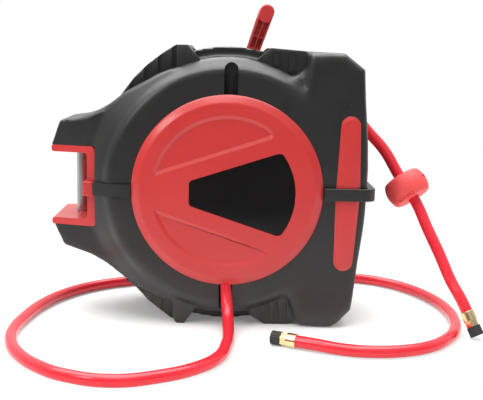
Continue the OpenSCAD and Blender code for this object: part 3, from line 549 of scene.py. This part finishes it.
def finish_with(piece, kind, **values):
    """Adds a modifier and applies it"""
    choose(piece)
    modifier = piece.modifiers.new(kind.lower(), kind)
    for name, value in values.items():
        setattr(modifier, name, value)
    bpy.ops.object.modifier_apply(modifier=modifier.name)


def cut(piece, cutter, operation="DIFFERENCE"):
    finish_with(piece, "BOOLEAN", object=cutter, operation=operation, solver="MANIFOLD")
    bpy.data.objects.remove(cutter)


def round_edges(piece, width, degrees, segments=3):
    """Rounds each edge that turns by more than an angle"""
    finish_with(piece, "BEVEL", width=width * MM, segments=segments, limit_method="ANGLE",
                angle_limit=math.radians(degrees))


def shade(piece, degrees):
    choose(piece)
    bpy.ops.object.shade_smooth_by_angle(angle=math.radians(degrees))


def crisp(piece):
    """Smooth shading in which broad flats stay flat"""
    shade(piece, CRISP_ANGLE)
    finish_with(piece, "WEIGHTED_NORMAL", keep_sharp=True)


def dress(piece, material, node, body="case"):
    """Gives a piece its finish and its body, and hides the CAD node that it stands for"""
    piece.data.materials.clear()
    piece.data.materials.append(material)
    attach(piece, body)
    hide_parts(node)
    print(piece.name, len(piece.data.polygons), "faces")


# %% [markdown]
# ## The case: one soft lump first
# A moulded case has no sharp inside corners: the ring runs into the yoke arms and the outlet block in
# broad sweeps. Filleting that edge by edge would never end. So the half case is built like clay: a drum,
# a ring with a creased shoulder, a block, two feet and the yoke arms, which get thinner towards their
# tips, are pushed together. A cone leads from the shoulder down to the arms. A voxel remesh makes one
# skin of it all, and smoothing melts the joins, little everywhere and a lot at the roots of the arms and
# in the corners beside the block.

# %% Sizes of the half case
BACK = -12.0
BELT = -3.0
BODY_R, BODY_D = 144.0, 45.0
RING_R, RING_D = 134.0, 75.0
LUG_D, ARM_D, TIP_D = 60.0, 54.0, 40.0
FOOT_D, RIGHT_FOOT_D, CORNER_FILL_D = 66.0, LUG_D + 4, LUG_D + 8
BLOCK_X, BLOCK_CHAMFER = 144.0, 6.0
TIP = -185.0
ARM_TOP, ARM_LOW = 39.0, -45.0
YOKE_U, ROOT_RUN, ROOT_RISE, ROOT_LAP = -137.5, 12.0, 11.0, 2
FAR = 220.0

# %% Outlines of the half case
YOKE = [(-58, 121), (-71.5, 116), (-89, 106), (-107, 96), (-115, 89.5), (-123.5, 83), (-140, 73.5),
        (TIP + 28, 67.5), (TIP + 9.5, 65), (TIP, ARM_TOP), (TIP + 2, ARM_LOW), (TIP + 13, -67),
        (TIP + 27, -71), (-141, -76.5), (-124, -86.5), (-107, -100), (-86, -112), (-71.5, -118.5),
        (-58, -121.5)]
BLOCK = [(80, 141), (116, 139.5), (137, 123.5), (139, 93), (143, 50), (BLOCK_X, 22), (143, -22),
         (141.5, -41), (137.5, -75), (134, -110), (132, -126), (118, 4 - AXIS_Z), (111, -AXIS_Z),
         (76, -AXIS_Z), (60, -100)]
CORNER_FILL = [(62, 112), (80, 128), (96, 120), (96, 92), (74, 92)]
LEFT_FOOT = [(-55.5, -112), (-55, -140), (-52, -AXIS_Z), (-43, -AXIS_Z), (-32, -130), (-32, -112)]
RIGHT_FOOT = [(25, -135), (41, -AXIS_Z), (82, -AXIS_Z), (82, -110), (25, -110)]
RING_EDGE = [(RING_R, 57.0), (133.2, 60.5), (131.4, 63.6), (125.0, 71.4), (122.4, 73.8), (118.8, RING_D)]

# %% Rough lumps
FRONT_FACING = -0.9


def arm_depth(x):
    """The depth of the yoke arms at this x, in metres"""
    share = (x / MM - DRUM_X - TIP) / (YOKE_U - TIP)
    return (TIP_D + (ARM_D - TIP_D) * min(share, 1.0)) * MM


drum_lump = turned("drum_lump", [(0, BACK), (BODY_R, BACK), (BODY_R, BODY_D), (0, BODY_D)])
ring_lump = turned("ring_lump", [(0, BACK), (RING_R, BACK)] + RING_EDGE + [(0, RING_D)])
yoke_lump = plate("yoke_lump", YOKE, BACK, ARM_D)
for vertex in yoke_lump.data.vertices:
    vertex.co.y = max(vertex.co.y, -arm_depth(vertex.co.x))
root_cone = turned("root_cone", [(0, BACK), (RING_R + ROOT_RUN, BACK), (RING_R + ROOT_RUN, ARM_D),
                                 (RING_R - ROOT_LAP, ARM_D + ROOT_RISE), (0, ARM_D + ROOT_RISE)])
cut(root_cone, plate("yoke_room", YOKE, BACK - 1, FAR), "INTERSECT")
block_lump = plate("block_lump", BLOCK, BACK, RING_D)
select_none(block_lump)
for face in block_lump.data.polygons:
    face.select = face.normal.y < FRONT_FACING
bpy.ops.object.mode_set(mode="EDIT")
bpy.ops.mesh.bevel(offset=BLOCK_CHAMFER * MM, segments=2, affect="EDGES")
close_up()
corner_fill = plate("corner_fill", CORNER_FILL, BACK, CORNER_FILL_D)
left_foot = plate("left_foot", LEFT_FOOT, BACK, FOOT_D)
right_foot = plate("right_foot", RIGHT_FOOT, BACK, RIGHT_FOOT_D)
lumps = (ring_lump, block_lump, yoke_lump, root_cone, corner_fill, left_foot, right_foot, drum_lump)
print("lumps:", [lump.name for lump in lumps])

# %% Melt the lumps into one skin
VOXEL = 1.8 * MM
SMOOTHING = 0.5
ARM_MELT, CORNER_MELT, MELT = 24, 70, 3
ARM_TIP, ARM_ROOT, ARM_FRONT = (-160, -145), (-85, -45), (40, 50)
# Each corner that melts: its u, v and radius
CORNERS = [(80, 128, 24), (82, 104, 28), (70, -118, 24), (80, -135, 18)]
CORNER_CORE, CORNER_FRONT = 0.55, (38, 50)


def ramp(x, low, high):
    share = min(max((x - low) / (high - low), 0.0), 1.0)
    return share * share * (3 - 2 * share)


def face_place(point):
    return point.x / MM - DRUM_X, point.z / MM - AXIS_Z, -point.y / MM


def arm_weight(u, v, d):
    return (1 - ramp(u, *ARM_ROOT)) * ramp(u, *ARM_TIP) * ramp(d, *ARM_FRONT)


def corner_weight(u, v, d):
    near = max(1 - ramp(math.hypot(u - cu, v - cv), r * CORNER_CORE, r) for cu, cv, r in CORNERS)
    return near * ramp(d, *CORNER_FRONT)


def melt(piece, rule, iterations):
    """Smooths a piece as strongly as a rule says for each place on its face"""
    group = piece.vertex_groups.new(name="melt")
    for vertex in piece.data.vertices:
        group.add([vertex.index], rule(*face_place(vertex.co)), "REPLACE")
    finish_with(piece, "SMOOTH", factor=SMOOTHING, iterations=iterations, vertex_group="melt")
    piece.vertex_groups.clear()


choose(*lumps)
bpy.ops.object.join()
half_case = bpy.context.object
half_case.name = "half_case"
finish_with(half_case, "REMESH", mode="VOXEL", voxel_size=VOXEL, adaptivity=0.0)
melt(half_case, arm_weight, ARM_MELT)
melt(half_case, corner_weight, CORNER_MELT)
finish_with(half_case, "SMOOTH", factor=SMOOTHING, iterations=MELT)
print("half case:", len(half_case.data.polygons), "faces")

# %% [markdown]
# ## Lugs and ribs
# The lugs and ribs are flat and have crisp edges against the soft ring, so they join the lump after it
# has melted. Each is a plate with a small bevel round its front. The two ribs on the left lie lower than
# the lugs and get flutes later.

# %% Lugs and ribs
RIB_D = BODY_D + 3
LUG_BEVEL = 1.0
UPPER_LEFT_RIB = [(-112, 92), (-98.5, 110), (-84, 124.5), (-69, 136), (-55, 145), (-45, 145), (-45, 110),
                  (-100, 80)]
LEFT_FOOT_RIB = [(-107, -103), (-96, -110.5), (-83, -125), (-68, -137), (-57, -AXIS_Z), (-45, -AXIS_Z),
                 (-45, -115), (-80, -100)]
UPPER_LEFT_LUG = [(-53.5, 110), (-53.5, 144), (-52, 145), (-43, 145), (-29.5, 130), (-29.5, 110)]
UPPER_RIGHT_LUG = [(27, 131), (42, 143.5), (78, 141), (88, 110), (27, 110)]
LUGS = [(UPPER_LEFT_RIB, RIB_D), (LEFT_FOOT_RIB, RIB_D), (UPPER_LEFT_LUG, LUG_D), (UPPER_RIGHT_LUG, LUG_D)]
for outline, depth in LUGS:
    lug = plate("lug", outline, BACK, depth)
    finish_with(lug, "BEVEL", width=LUG_BEVEL * MM, segments=2)
    cut(half_case, lug, "UNION")
print("with lugs:", len(half_case.data.polygons), "faces")

# %% [markdown]
# ## Crisp cuts in the soft lump
# What a tool cuts stays sharp: the seat of the cover, the two hose channels, the flutes in the ribs and
# the right foot, the gap of the yoke, the valley for the handle and the small dimples over the screw
# posts. Each is a plain solid that a Boolean takes away, and two raised marks on the upper right lug are
# added in the same way. Then the lump is cut at the joint line and its skin gets a wall.

# %% Cover seat, channels, yoke gap and valley
COVER_V = -1.7
COVER_SEAT_R, COVER_SEAT_D = 96.0, 60.0
CHANNEL_R, CHANNEL_D, CHANNEL_END, CHANNEL_LAP, GROOVE_U = 7.0, 71.0, 121.5, 4, 2.0
VALLEY_LEFT, VALLEY_RIGHT, VALLEY_FLOOR, VALLEY_HALF = -40.0, 46.0, 126.0, 34.0


def channel(u, start, end):
    """An open channel with a round bottom, from v start to v end"""
    piece = rod(CHANNEL_R, abs(end - start), on_face(u, (start + end) / 2, CHANNEL_D))
    cut(piece, box("mouth", u - CHANNEL_R, u + CHANNEL_R, start, end, CHANNEL_D, FAR), "UNION")
    return piece


cut(half_case, disc("seat", 0, COVER_V, COVER_SEAT_R, COVER_SEAT_D, FAR))
cut(half_case, channel(GROOVE_U, COVER_SEAT_R - CHANNEL_LAP, CHANNEL_END))
cut(half_case, disc("round_end", GROOVE_U, CHANNEL_END, CHANNEL_R, CHANNEL_D - CHANNEL_R, FAR))
cut(half_case, channel(0, -COVER_SEAT_R + CHANNEL_LAP, -FAR))
cut(half_case, box("yoke", -FAR, YOKE_U, ARM_LOW, ARM_TOP, -FAR, FAR))
cut(half_case, box("valley", VALLEY_LEFT, VALLEY_RIGHT, VALLEY_FLOOR, FAR, -FAR, VALLEY_HALF))
print("with its seats:", len(half_case.data.polygons), "faces")

# %% Flutes, raised marks and dimples
CUT_PAST = 5
FLUTE_W, FLUTE_T, FLUTE_PAST = 4.5, 2.0, 1
FOOT_FLUTE_D = RIGHT_FOOT_D + 0.8
# Each flute: its left edge, its two ends and the depth of the face that it is cut in
FLUTES = [(u, 84, 146, RIB_D) for u in (-102.3, -88, -73.7, -59.4)]
FLUTES += [(u, -150, -120, FOOT_FLUTE_D) for u in (34, 43, 52, 61)]
FLUTES += [(u, -140, -100, RIB_D) for u in (-90, -79, -68)]
MARKS = [(44, 125, 50, 138), (60, 120, 66, 138)]
MARK_ROOT, MARK_T = 3, 2
DIMPLES = [(59, 87), (115.5, 88)]
DIMPLE_R, DIMPLE_T = 4.8, 0.8

for u, v0, v1, front in FLUTES:
    cut(half_case, box("flute", u, u + FLUTE_W, v0, v1, front - FLUTE_T, front + FLUTE_PAST))
for u0, v0, u1, v1 in MARKS:
    cut(half_case, box("mark", u0, u1, v0, v1, LUG_D - MARK_ROOT, LUG_D + MARK_T), "UNION")
for u, v in DIMPLES:
    cut(half_case, disc("dimple", u, v, DIMPLE_R, RING_D - DIMPLE_T, RING_D + CUT_PAST))
print("cut half case:", len(half_case.data.polygons), "faces")

# %% Front and rear shells
WALL = 3.0 * MM
# Each screw's u, v and the depth of its seat
SCREWS = [(TIP + 11, 50, 28), (TIP + 12, -55, 28), (-70, 128, 34), (62, 131, 46), (-44, -134, 46),
          (58, -136, 46), (122, 122, 46), (115, -125, 46)]
SCREW_SEAT_R = 4.1
MOUTH_U, MOUTH_LOW, MOUTH_HIGH, MOUTH_HALF = 117.0, 39.9, 100.1, 25.1


def shell(name, solid):
    """Opens the lump at the joint line and gives its skin a wall"""
    edit(solid)
    bpy.ops.mesh.bisect(plane_co=(0, 0, 0), plane_no=(0, 1, 0), clear_outer=True, use_fill=False)
    bpy.ops.object.mode_set(mode="OBJECT")
    finish_with(solid, "SOLIDIFY", thickness=WALL, offset=-1)
    cut(solid, box("mouth", MOUTH_U, FAR, MOUTH_LOW, MOUTH_HIGH, -FAR, MOUTH_HALF))
    solid.name = name
    return solid


rear_lump = own_copy(half_case, "rear_lump")
for u, v, d in SCREWS:
    cut(rear_lump, disc("screw_seat", u, v, SCREW_SEAT_R, d, FAR))
front_shell = shell("front_shell_skin", half_case)
rear_shell = shell("rear_shell_skin", rear_lump)
turn_to_rear(rear_shell)
for piece, node in ((front_shell, "front_shell"), (rear_shell, "rear_shell")):
    shade(piece, SMOOTH_ANGLE)
    dress(piece, case_plastic, node)

# %% [markdown]
# ## The round covers
# The red cover is a shallow dish: a sloping rim, a flat face, two sunk fields and a seat for the dark
# insert. The rim is spun. The fields are cut with plates whose corners are rounded first and whose floor
# is inset, so that the walls slope and catch the light. A bevel softens every edge that the cuts leave,
# as the radius of a mould does. The face is one flat polygon, so the bevel has clean edges to follow.

# %% Rounded and sloping plates
CORNER_STEPS = 8
FLAT_ANGLE = math.radians(0.5)


def tidy_flats(piece):
    """Joins the small faces of each flat into one polygon"""
    edit(piece)
    bpy.ops.mesh.dissolve_limited(angle_limit=FLAT_ANGLE)
    bpy.ops.object.mode_set(mode="OBJECT")


def rounded_plate(name, outline, near, out, corners):
    """A plate with some corners of its outline rounded: corners maps a corner's index to its radius"""
    piece = loop_of_points(name, [on_face(u, v, near) for u, v in outline], "NGON")
    places = {index: piece.data.vertices[index].co.copy() for index in corners}
    for index, radius in corners.items():
        select_none(piece)
        nearest = min(piece.data.vertices, key=lambda vertex: (vertex.co - places[index]).length)
        nearest.select = True
        bpy.ops.object.mode_set(mode="EDIT")
        bpy.ops.mesh.bevel(offset=radius * MM, segments=CORNER_STEPS, affect="VERTICES", clamp_overlap=False)
        bpy.ops.object.mode_set(mode="OBJECT")
    edit(piece)
    bpy.ops.mesh.extrude_region_move(TRANSFORM_OT_translate={"value": (0, (near - out) * MM, 0)})
    close_up()
    return piece


def slope_in(piece, way, run, rise):
    """Insets the flat that faces this way along y and moves it out, which leaves sloping walls"""
    select_none(piece)
    edge = max(vertex.co.y * way for vertex in piece.data.vertices)
    for vertex in piece.data.vertices:
        vertex.select = vertex.co.y * way > edge - MERGE_DISTANCE
    bpy.ops.object.mode_set(mode="EDIT")
    bpy.ops.mesh.inset(thickness=run * MM, depth=rise * MM)
    close_up()


def mirrored(piece, name):
    """A copy of a front piece for the rear"""
    copy = own_copy(piece, name)
    turn_to_rear(copy)
    return copy


# %% Outlines of the fields and the insert
PATTERN_V = COVER_V - 2.2
FACE_D = 81.0
FIELD_R, FIELD_RISE, FIELD_SLOPE, FIELD_DEPTH = 77.5, 42.0, 0.334, 2.0
FIELD_WALL, FIELD_EASE, FIELD_CORNER = 3.8, 11.0, 4.5
BOW_STEPS, BEND_STEPS = 36, 8
INSERT_LEFT, INSERT_HALF, INSERT_SLOPE, INSERT_R = -39.0, 12.6, 0.33, 69.5
INSERT_STEPS = 24
INSERT_CORNERS = {0: 5.0, INSERT_STEPS: 5.0, INSERT_STEPS + 1: 3.0, INSERT_STEPS + 2: 3.0}


def line_meets_circle(rise, slope, r):
    """The two u at which v = rise + slope u meets a circle about the middle"""
    a, b, c = 1 + slope * slope, rise * slope, rise * rise - r * r
    root = math.sqrt(b * b - a * c)
    return (-b - root) / a, (-b + root) / a


def field_cutter(side):
    """A cutter for a field with one straight side, a bow and an eased tip"""
    rise = FIELD_RISE + side * (PATTERN_V - COVER_V)
    left, right = line_meets_circle(rise, FIELD_SLOPE, FIELD_R)
    start = math.degrees(math.atan2(rise + FIELD_SLOPE * right, right))
    end = math.degrees(math.atan2(rise + FIELD_SLOPE * left, left))
    bow = [Vector(point) for point in arc(0, 0, FIELD_R, start + FIELD_EASE, end, BOW_STEPS)]
    tip = Vector(arc(0, 0, FIELD_R, start, end, 1)[0])
    foot = tip + (bow[-1] - tip).normalized() * (bow[0] - tip).length
    shares = [i / BEND_STEPS for i in range(BEND_STEPS)]
    bend = [foot * (1 - t) ** 2 + tip * 2 * t * (1 - t) + bow[0] * t ** 2 for t in shares]
    outline = [(point.x, COVER_V + side * point.y) for point in bend + bow]
    cutter = rounded_plate("field", outline, FACE_D, FACE_D + CUT_PAST, {len(outline) - 1: FIELD_CORNER})
    slope_in(cutter, 1, FIELD_WALL, FIELD_DEPTH)
    return cutter


def insert_outline(shrink):
    """A fan with a bowed right side, made smaller all round by shrink"""
    r = INSERT_R - shrink
    half = INSERT_HALF - shrink
    rise = half - INSERT_SLOPE * INSERT_LEFT
    right = line_meets_circle(rise, INSERT_SLOPE, r)[1]
    angle = math.degrees(math.atan2(rise + INSERT_SLOPE * right, right))
    left = INSERT_LEFT + shrink
    low_left = rise + INSERT_SLOPE * left
    outline = arc(0, 0, r, -angle, angle, INSERT_STEPS) + [(left, low_left), (left, -low_left)]
    return [(u, PATTERN_V + v) for u, v in outline]


# %% Covers
COVER_R, RIM_IN, COVER_T = 98.0, 88.5, 4.4
SKIRT_IN, SKIRT_OUT, SKIRT_D = 93.4, 95.9, 69
INSERT_SINK = 1.6
TUNNEL_V, TUNNEL_LENGTH = -118, 60
RIM = [(COVER_R, RING_D + 0.8), (97.4, 76.5), (96.2, 77.4), (91.0, 80.3), (89.8, 80.8), (RIM_IN, FACE_D)]
UNDERSIDE = [(0, FACE_D - COVER_T), (RIM_IN - 1, FACE_D - COVER_T), (SKIRT_IN, RING_D), (SKIRT_IN, SKIRT_D),
             (SKIRT_OUT, SKIRT_D), (SKIRT_OUT, RING_D), (COVER_R, RING_D)]

front_cover = turned("front_cover_skin", UNDERSIDE + RIM + [(0, FACE_D)], 0, COVER_V)
tidy_flats(front_cover)
for side in (1, -1):
    cut(front_cover, field_cutter(side))
insert_seat = rounded_plate("insert_seat", insert_outline(0), FACE_D - INSERT_SINK, FACE_D + CUT_PAST,
                            INSERT_CORNERS)
cut(front_cover, insert_seat)
cut(front_cover, rod(CHANNEL_R, TUNNEL_LENGTH, on_face(0, TUNNEL_V, CHANNEL_D)))
tidy_flats(front_cover)
round_edges(front_cover, 0.9, 24)
rear_cover = mirrored(front_cover, "rear_cover_skin")
for piece, node in ((front_cover, "front_cover"), (rear_cover, "rear_cover")):
    crisp(piece)
    dress(piece, red_plastic, node)

# %% [markdown]
# ## Inserts and stripes
# The insert is a bare, polished dark plate, set just under the cover's face. The side stripe is a
# bowed bar with round ends and a broad slope along its edge, made by an inset that is pulled forward.

# %% Inserts
INSERT_GAP, INSERT_UNDER = 0.2, 0.5
front_insert = rounded_plate("front_insert_skin", insert_outline(INSERT_GAP), FACE_D - INSERT_SINK,
                             FACE_D - INSERT_UNDER, INSERT_CORNERS)
round_edges(front_insert, 0.5, 40)
rear_insert = mirrored(front_insert, "rear_insert_skin")
for piece, node in ((front_insert, "front_insert"), (rear_insert, "rear_insert")):
    crisp(piece)
    dress(piece, insert_gloss, node)

# %% Stripes
STRIPE_T, STRIPE_EDGE, STRIPE_SLOPE = 2.0, 0.5, 3.6
STRIPE_REACH, STRIPE_R, STRIPE_STEPS = 70, 10, 20
STRIPE_TOP_U, STRIPE_LOW_U, STRIPE_LEFT, STRIPE_RIGHT = 124, 121, 111, 136
upper_end = arc(STRIPE_TOP_U, BELT + STRIPE_REACH, STRIPE_R, 0, 180, STRIPE_STEPS)
lower_end = arc(STRIPE_LOW_U, BELT - STRIPE_REACH, STRIPE_R, 180, 360, STRIPE_STEPS)
stripe_outline = upper_end + [(STRIPE_LEFT, BELT)] + lower_end + [(STRIPE_RIGHT, BELT)]
front_stripe = plate("front_stripe_skin", stripe_outline, RING_D, RING_D + STRIPE_EDGE)
slope_in(front_stripe, -1, STRIPE_SLOPE, STRIPE_T - STRIPE_EDGE)
round_edges(front_stripe, 0.8, 20)
rear_stripe = mirrored(front_stripe, "rear_stripe_skin")
for piece, node in ((front_stripe, "front_stripe"), (rear_stripe, "rear_stripe")):
    crisp(piece)
    dress(piece, red_plastic, node)

# %% [markdown]
# ## Softened copies
# A piece whose solid is right but whose edges are too sharp is copied from the frame. The copy's loose
# triangles are merged, its flats become single polygons, and a small bevel rounds its edges so that they
# catch the light.

# %% Bands, clips, hose ends and the outlet
SHARP_ANGLE = 40


def softened(node, width, material, body="case", segments=3):
    """A copy of a CAD node with its edges rounded by this width"""
    piece = own_copy(nodes[node], node + "_skin")
    edit(piece)
    bpy.ops.mesh.remove_doubles(threshold=MERGE_DISTANCE)
    bpy.ops.mesh.dissolve_limited(angle_limit=FLAT_ANGLE)
    bpy.ops.object.mode_set(mode="OBJECT")
    round_edges(piece, width, SHARP_ANGLE, segments)
    crisp(piece)
    dress(piece, material, node, body=body)


softened("right_band", 1.4, case_plastic)
softened("left_bands", 0.8, case_plastic)
softened("band_clips", 1.2, red_plastic)
softened("outlet_frame", 0.8, red_plastic)
for side in ("top", "bottom", "front", "rear"):
    softened(side + "_roller", 0.8, roller_nylon, body="roller_" + side)
for end in ("feed", "outlet"):
    softened(end + "_ferrule", 0.4, brass)
    softened(end + "_fitting", 0.5, brass)
    softened(end + "_cap", 0.25, cap_plastic, segments=2)

# %% [markdown]
# ## The yoke's liner
# A red lining with thick lips guards the jaws where a wall bracket grips the reel. Its outline is a
# square U with round corners outside and inside, extruded through the depth of the arms and softened with
# a bevel.

# %% Yoke liner
LINER_T, LINER_WEB = 7.0, 8.5
PIN_U, PIN_R, PIN_GAP, PIN_BORE_LENGTH = -159.5, 5.5, 0.05, 120
LINER = [(TIP, ARM_TOP), (TIP, ARM_TOP - LINER_T), (YOKE_U - LINER_WEB, ARM_TOP - LINER_T),
         (YOKE_U - LINER_WEB, ARM_LOW + LINER_T), (TIP, ARM_LOW + LINER_T), (TIP, ARM_LOW),
         (YOKE_U, ARM_LOW), (YOKE_U, ARM_TOP)]
LINER_CORNERS = {0: 2.0, 1: 3.0, 2: 4.0, 3: 4.0, 4: 3.0, 5: 2.0, 6: 3.0, 7: 5.5}
yoke_liner = rounded_plate("yoke_liner_skin", LINER, -ARM_D, ARM_D, LINER_CORNERS)
for vertex in yoke_liner.data.vertices:
    vertex.co.y = math.copysign(arm_depth(vertex.co.x), vertex.co.y)
cut(yoke_liner, rod(PIN_R + PIN_GAP, PIN_BORE_LENGTH, on_face(PIN_U, BELT, 0)))
round_edges(yoke_liner, 1.4, 50)
crisp(yoke_liner)
dress(yoke_liner, red_plastic, "yoke_liner")

# %% [markdown]
# ## The carry handle
# The handle is one moulding: two ribbed legs and an oval grip across. A leg is a plate that widens
# upwards, with four pockets that leave thin ribs, as a moulder does to keep the wall even. The grip's
# rounded end stands a little proud of the leg. All is drawn upright about the pivot and leans with one
# turn.

# %% Handle
HANDLE_U, HANDLE_V, HANDLE_LEAN = 23.0, 136.0, 18.5
LEG_IN, LEG_OUT, LEG_WEB = 24.0, 32.0, 27.0
LEG_FOOT_R, LEG_TOP_R, HANDLE_BORE_R = 6.5, 7.5, 3.05
GRIP_LOW, GRIP_HIGH, GRIP_R, GRIP_OUT = 42.0, 46.8, 7.2, 33.3
FOOT_STEPS, GRIP_STEPS = 16, 20
# Each pocket: its two sides and its two ends, upright from the pivot
POCKETS = [(-5.0, -0.6, 7.5, 19.0), (0.6, 5.0, 7.5, 19.0), (-5.5, -0.6, 20.2, 36.5), (0.6, 5.5, 20.2, 36.5)]
POCKET_CORNERS = {0: 0.8, 1: 0.8, 2: 0.8, 3: 0.8}


def leaning(points):
    a = math.radians(HANDLE_LEAN)
    return [(HANDLE_U + x * math.cos(a) + y * math.sin(a), HANDLE_V - x * math.sin(a) + y * math.cos(a))
            for x, y in points]


leg = leaning(arc(0, 0, LEG_FOOT_R, 180, 360, FOOT_STEPS) + arc(0, GRIP_HIGH, LEG_TOP_R, 0, 180, GRIP_STEPS))
grip_top = arc(0, GRIP_HIGH, GRIP_R, 0, 180, GRIP_STEPS)
grip_underside = arc(0, GRIP_LOW, GRIP_R, 180, 360, GRIP_STEPS)
handle = plate("carry_handle_skin", leg, LEG_IN, LEG_OUT)
for x0, x1, y0, y1 in POCKETS:
    pocket = leaning([(x0, y0), (x1, y0), (x1, y1), (x0, y1)])
    cut(handle, rounded_plate("pocket", pocket, LEG_WEB, LEG_OUT + 1, POCKET_CORNERS))
cut(handle, disc("pin_bore", HANDLE_U, HANDLE_V, HANDLE_BORE_R, LEG_IN - 1, LEG_OUT + 1))
grip_end = plate("grip_end", leaning(grip_top + grip_underside), 0, GRIP_OUT)
round_edges(grip_end, 1.2, 60)
cut(handle, grip_end, "UNION")
cut(handle, mirrored(handle, "rear_half"), "UNION")
tidy_flats(handle)
round_edges(handle, 0.5, 50, segments=2)
crisp(handle)
dress(handle, red_plastic, "carry_handle", body="handle")

# %% [markdown]
# ## The stop ball
# The ball on the outlet hose stops against the mouth when the reel winds in. It is a short barrel in two
# halves, clamped on the hose by two screws, with a row of short slots near its lower rim. The barrel is
# spun upright at the origin, cut, split by a plane, turned along the hose and moved into place.

# %% Barrel of the stop ball
BALL_R, BALL_HALF, BARREL_R, BALL_BORE = 23.2, 13.2, 24.0, 6.1
SWELL_HALF, SWELL_STEPS, BALL_STEPS = 11.8, 12, 96
# The ball's rounded rim, from its flat end to its swell
BALL_RIM = [(17.8, BALL_HALF), (18.9, 12.8)]

heights = [-SWELL_HALF + 2 * SWELL_HALF * i / SWELL_STEPS for i in range(SWELL_STEPS + 1)]
swell = [(BALL_R - BARREL_R + math.sqrt(BARREL_R ** 2 - z ** 2), z) for z in heights]
lower_rim = [(BALL_BORE, -BALL_HALF)] + [(r, -z) for r, z in BALL_RIM]
upper_rim = BALL_RIM[::-1] + [(BALL_BORE, BALL_HALF)]
ball = loop_of_points("ball", [Vector((r, 0, z)) * MM for r, z in lower_rim + swell + upper_rim], "NOTHING")
edit(ball)
bpy.ops.mesh.spin(steps=BALL_STEPS, angle=math.tau, center=(0, 0, 0), axis=(0, 0, 1))
close_up()
print("barrel:", 2 * BALL_R, "mm across")

# %% Screws, slots and halves of the stop ball
BALL_POINT, BALL_TURN = 10, math.radians(141)
SCREW_OUT, SCREW_HEAD_R, SCREW_SEAT, SCREW_REACH = 12.0, 3.0, 10.0, 40
SLOT_R, SLOT_Z, SLOT_CUT_R, SLOT_LENGTH = 20.2, 10.6, 0.9, 3.6
SLOT_ANGLES = range(236, 285, 8)
ROD_SIDES = 32
SPLIT_GAP = 0.05


def hose_tilt(heading):
    """The turn that lays an upright piece along a heading"""
    return (0.0, math.acos(heading.z), math.atan2(heading.y, heading.x))


along = Vector((math.cos(BALL_TURN), math.sin(BALL_TURN), 0))
across = Vector((-along.y, along.x, 0))
for side in (-1, 1):
    middle = along * (SCREW_SEAT + SCREW_REACH / 2) + across * side * SCREW_OUT
    cut(ball, rod(SCREW_HEAD_R, SCREW_REACH, middle * MM, (0, math.pi / 2, BALL_TURN), ROD_SIDES))
for degrees in SLOT_ANGLES:
    a = math.radians(degrees)
    middle = Vector((SLOT_R * math.cos(a), SLOT_R * math.sin(a), SLOT_Z))
    cut(ball, rod(SLOT_CUT_R, SLOT_LENGTH, middle * MM, (0, -math.asin(SLOT_Z / BARREL_R), a), ROD_SIDES))
round_edges(ball, 0.5, 50, segments=2)
lower_ball = own_copy(ball, "stop_ball_lower_skin")
ball.name = "stop_ball_upper_skin"
route_way = (Vector(OUTLET_ROUTE[BALL_POINT + 1]) - Vector(OUTLET_ROUTE[BALL_POINT - 1])).normalized()
for piece, node, keep in ((ball, "stop_ball_upper", 1), (lower_ball, "stop_ball_lower", -1)):
    edit(piece)
    bpy.ops.mesh.bisect(plane_co=along * keep * SPLIT_GAP * MM, plane_no=along * keep, use_fill=True,
                        clear_inner=True)
    close_up()
    piece.rotation_euler = hose_tilt(route_way)
    piece.location = Vector(OUTLET_ROUTE[BALL_POINT]) * MM
    choose(piece)
    bpy.ops.object.transform_apply(location=True, rotation=True)
    shade(piece, CRISP_ANGLE)
    dress(piece, ball_plastic, node)

# %% [markdown]
# ## Grip on the caps
# The two protector caps are turned off by hand, so their rims carry fine grooves along the hose, which a
# moulder would cut in the tool. Thin rods set round the cap's own axis cut them.

# %% Cap grooves
CAP_GROOVES, GROOVE_R, GROOVE_LENGTH = 14, 0.55, 30
for end, route in (("feed", FEED_ROUTE), ("outlet", OUTLET_ROUTE)):
    cap = bpy.data.objects[end + "_cap_skin"]
    corners = [Vector(vertex.co) / MM for vertex in cap.data.vertices]
    middle = sum(corners, Vector()) / len(corners)
    heading = (Vector(route[-1]) - Vector(route[-2])).normalized()
    reach = max(((corner - middle) - heading * (corner - middle).dot(heading)).length for corner in corners)
    side_way = heading.orthogonal().normalized()
    other_way = heading.cross(side_way)
    for i in range(CAP_GROOVES):
        a = math.tau * i / CAP_GROOVES
        place = middle + (side_way * math.cos(a) + other_way * math.sin(a)) * reach
        cut(cap, rod(GROOVE_R, GROOVE_LENGTH, place * MM, hose_tilt(heading), ROD_SIDES))
    shade(cap, CRISP_ANGLE)
    print(cap.name, "grooves:", CAP_GROOVES, "reach", round(reach, 2), "mm")

# %% [markdown]
# ## The rest of the nodes
# Pieces whose CAD shape is right stay as they are and only get their finish, by the record's material
# slots.

# %% Finishes for the CAD nodes
FINISHES = {
    "black_case": case_plastic, "gloss_black": insert_gloss, "red_plastic": red_plastic,
    "red_hose": red_hose, "brass": brass, "steel": steel, "nylon": roller_nylon, "black_cap": cap_plastic}
for node in nodes.values():
    slot_name = node.data.materials[0].name
    node.data.materials.clear()
    node.data.materials.append(FINISHES[slot_name])
print("finished nodes:", len(nodes))
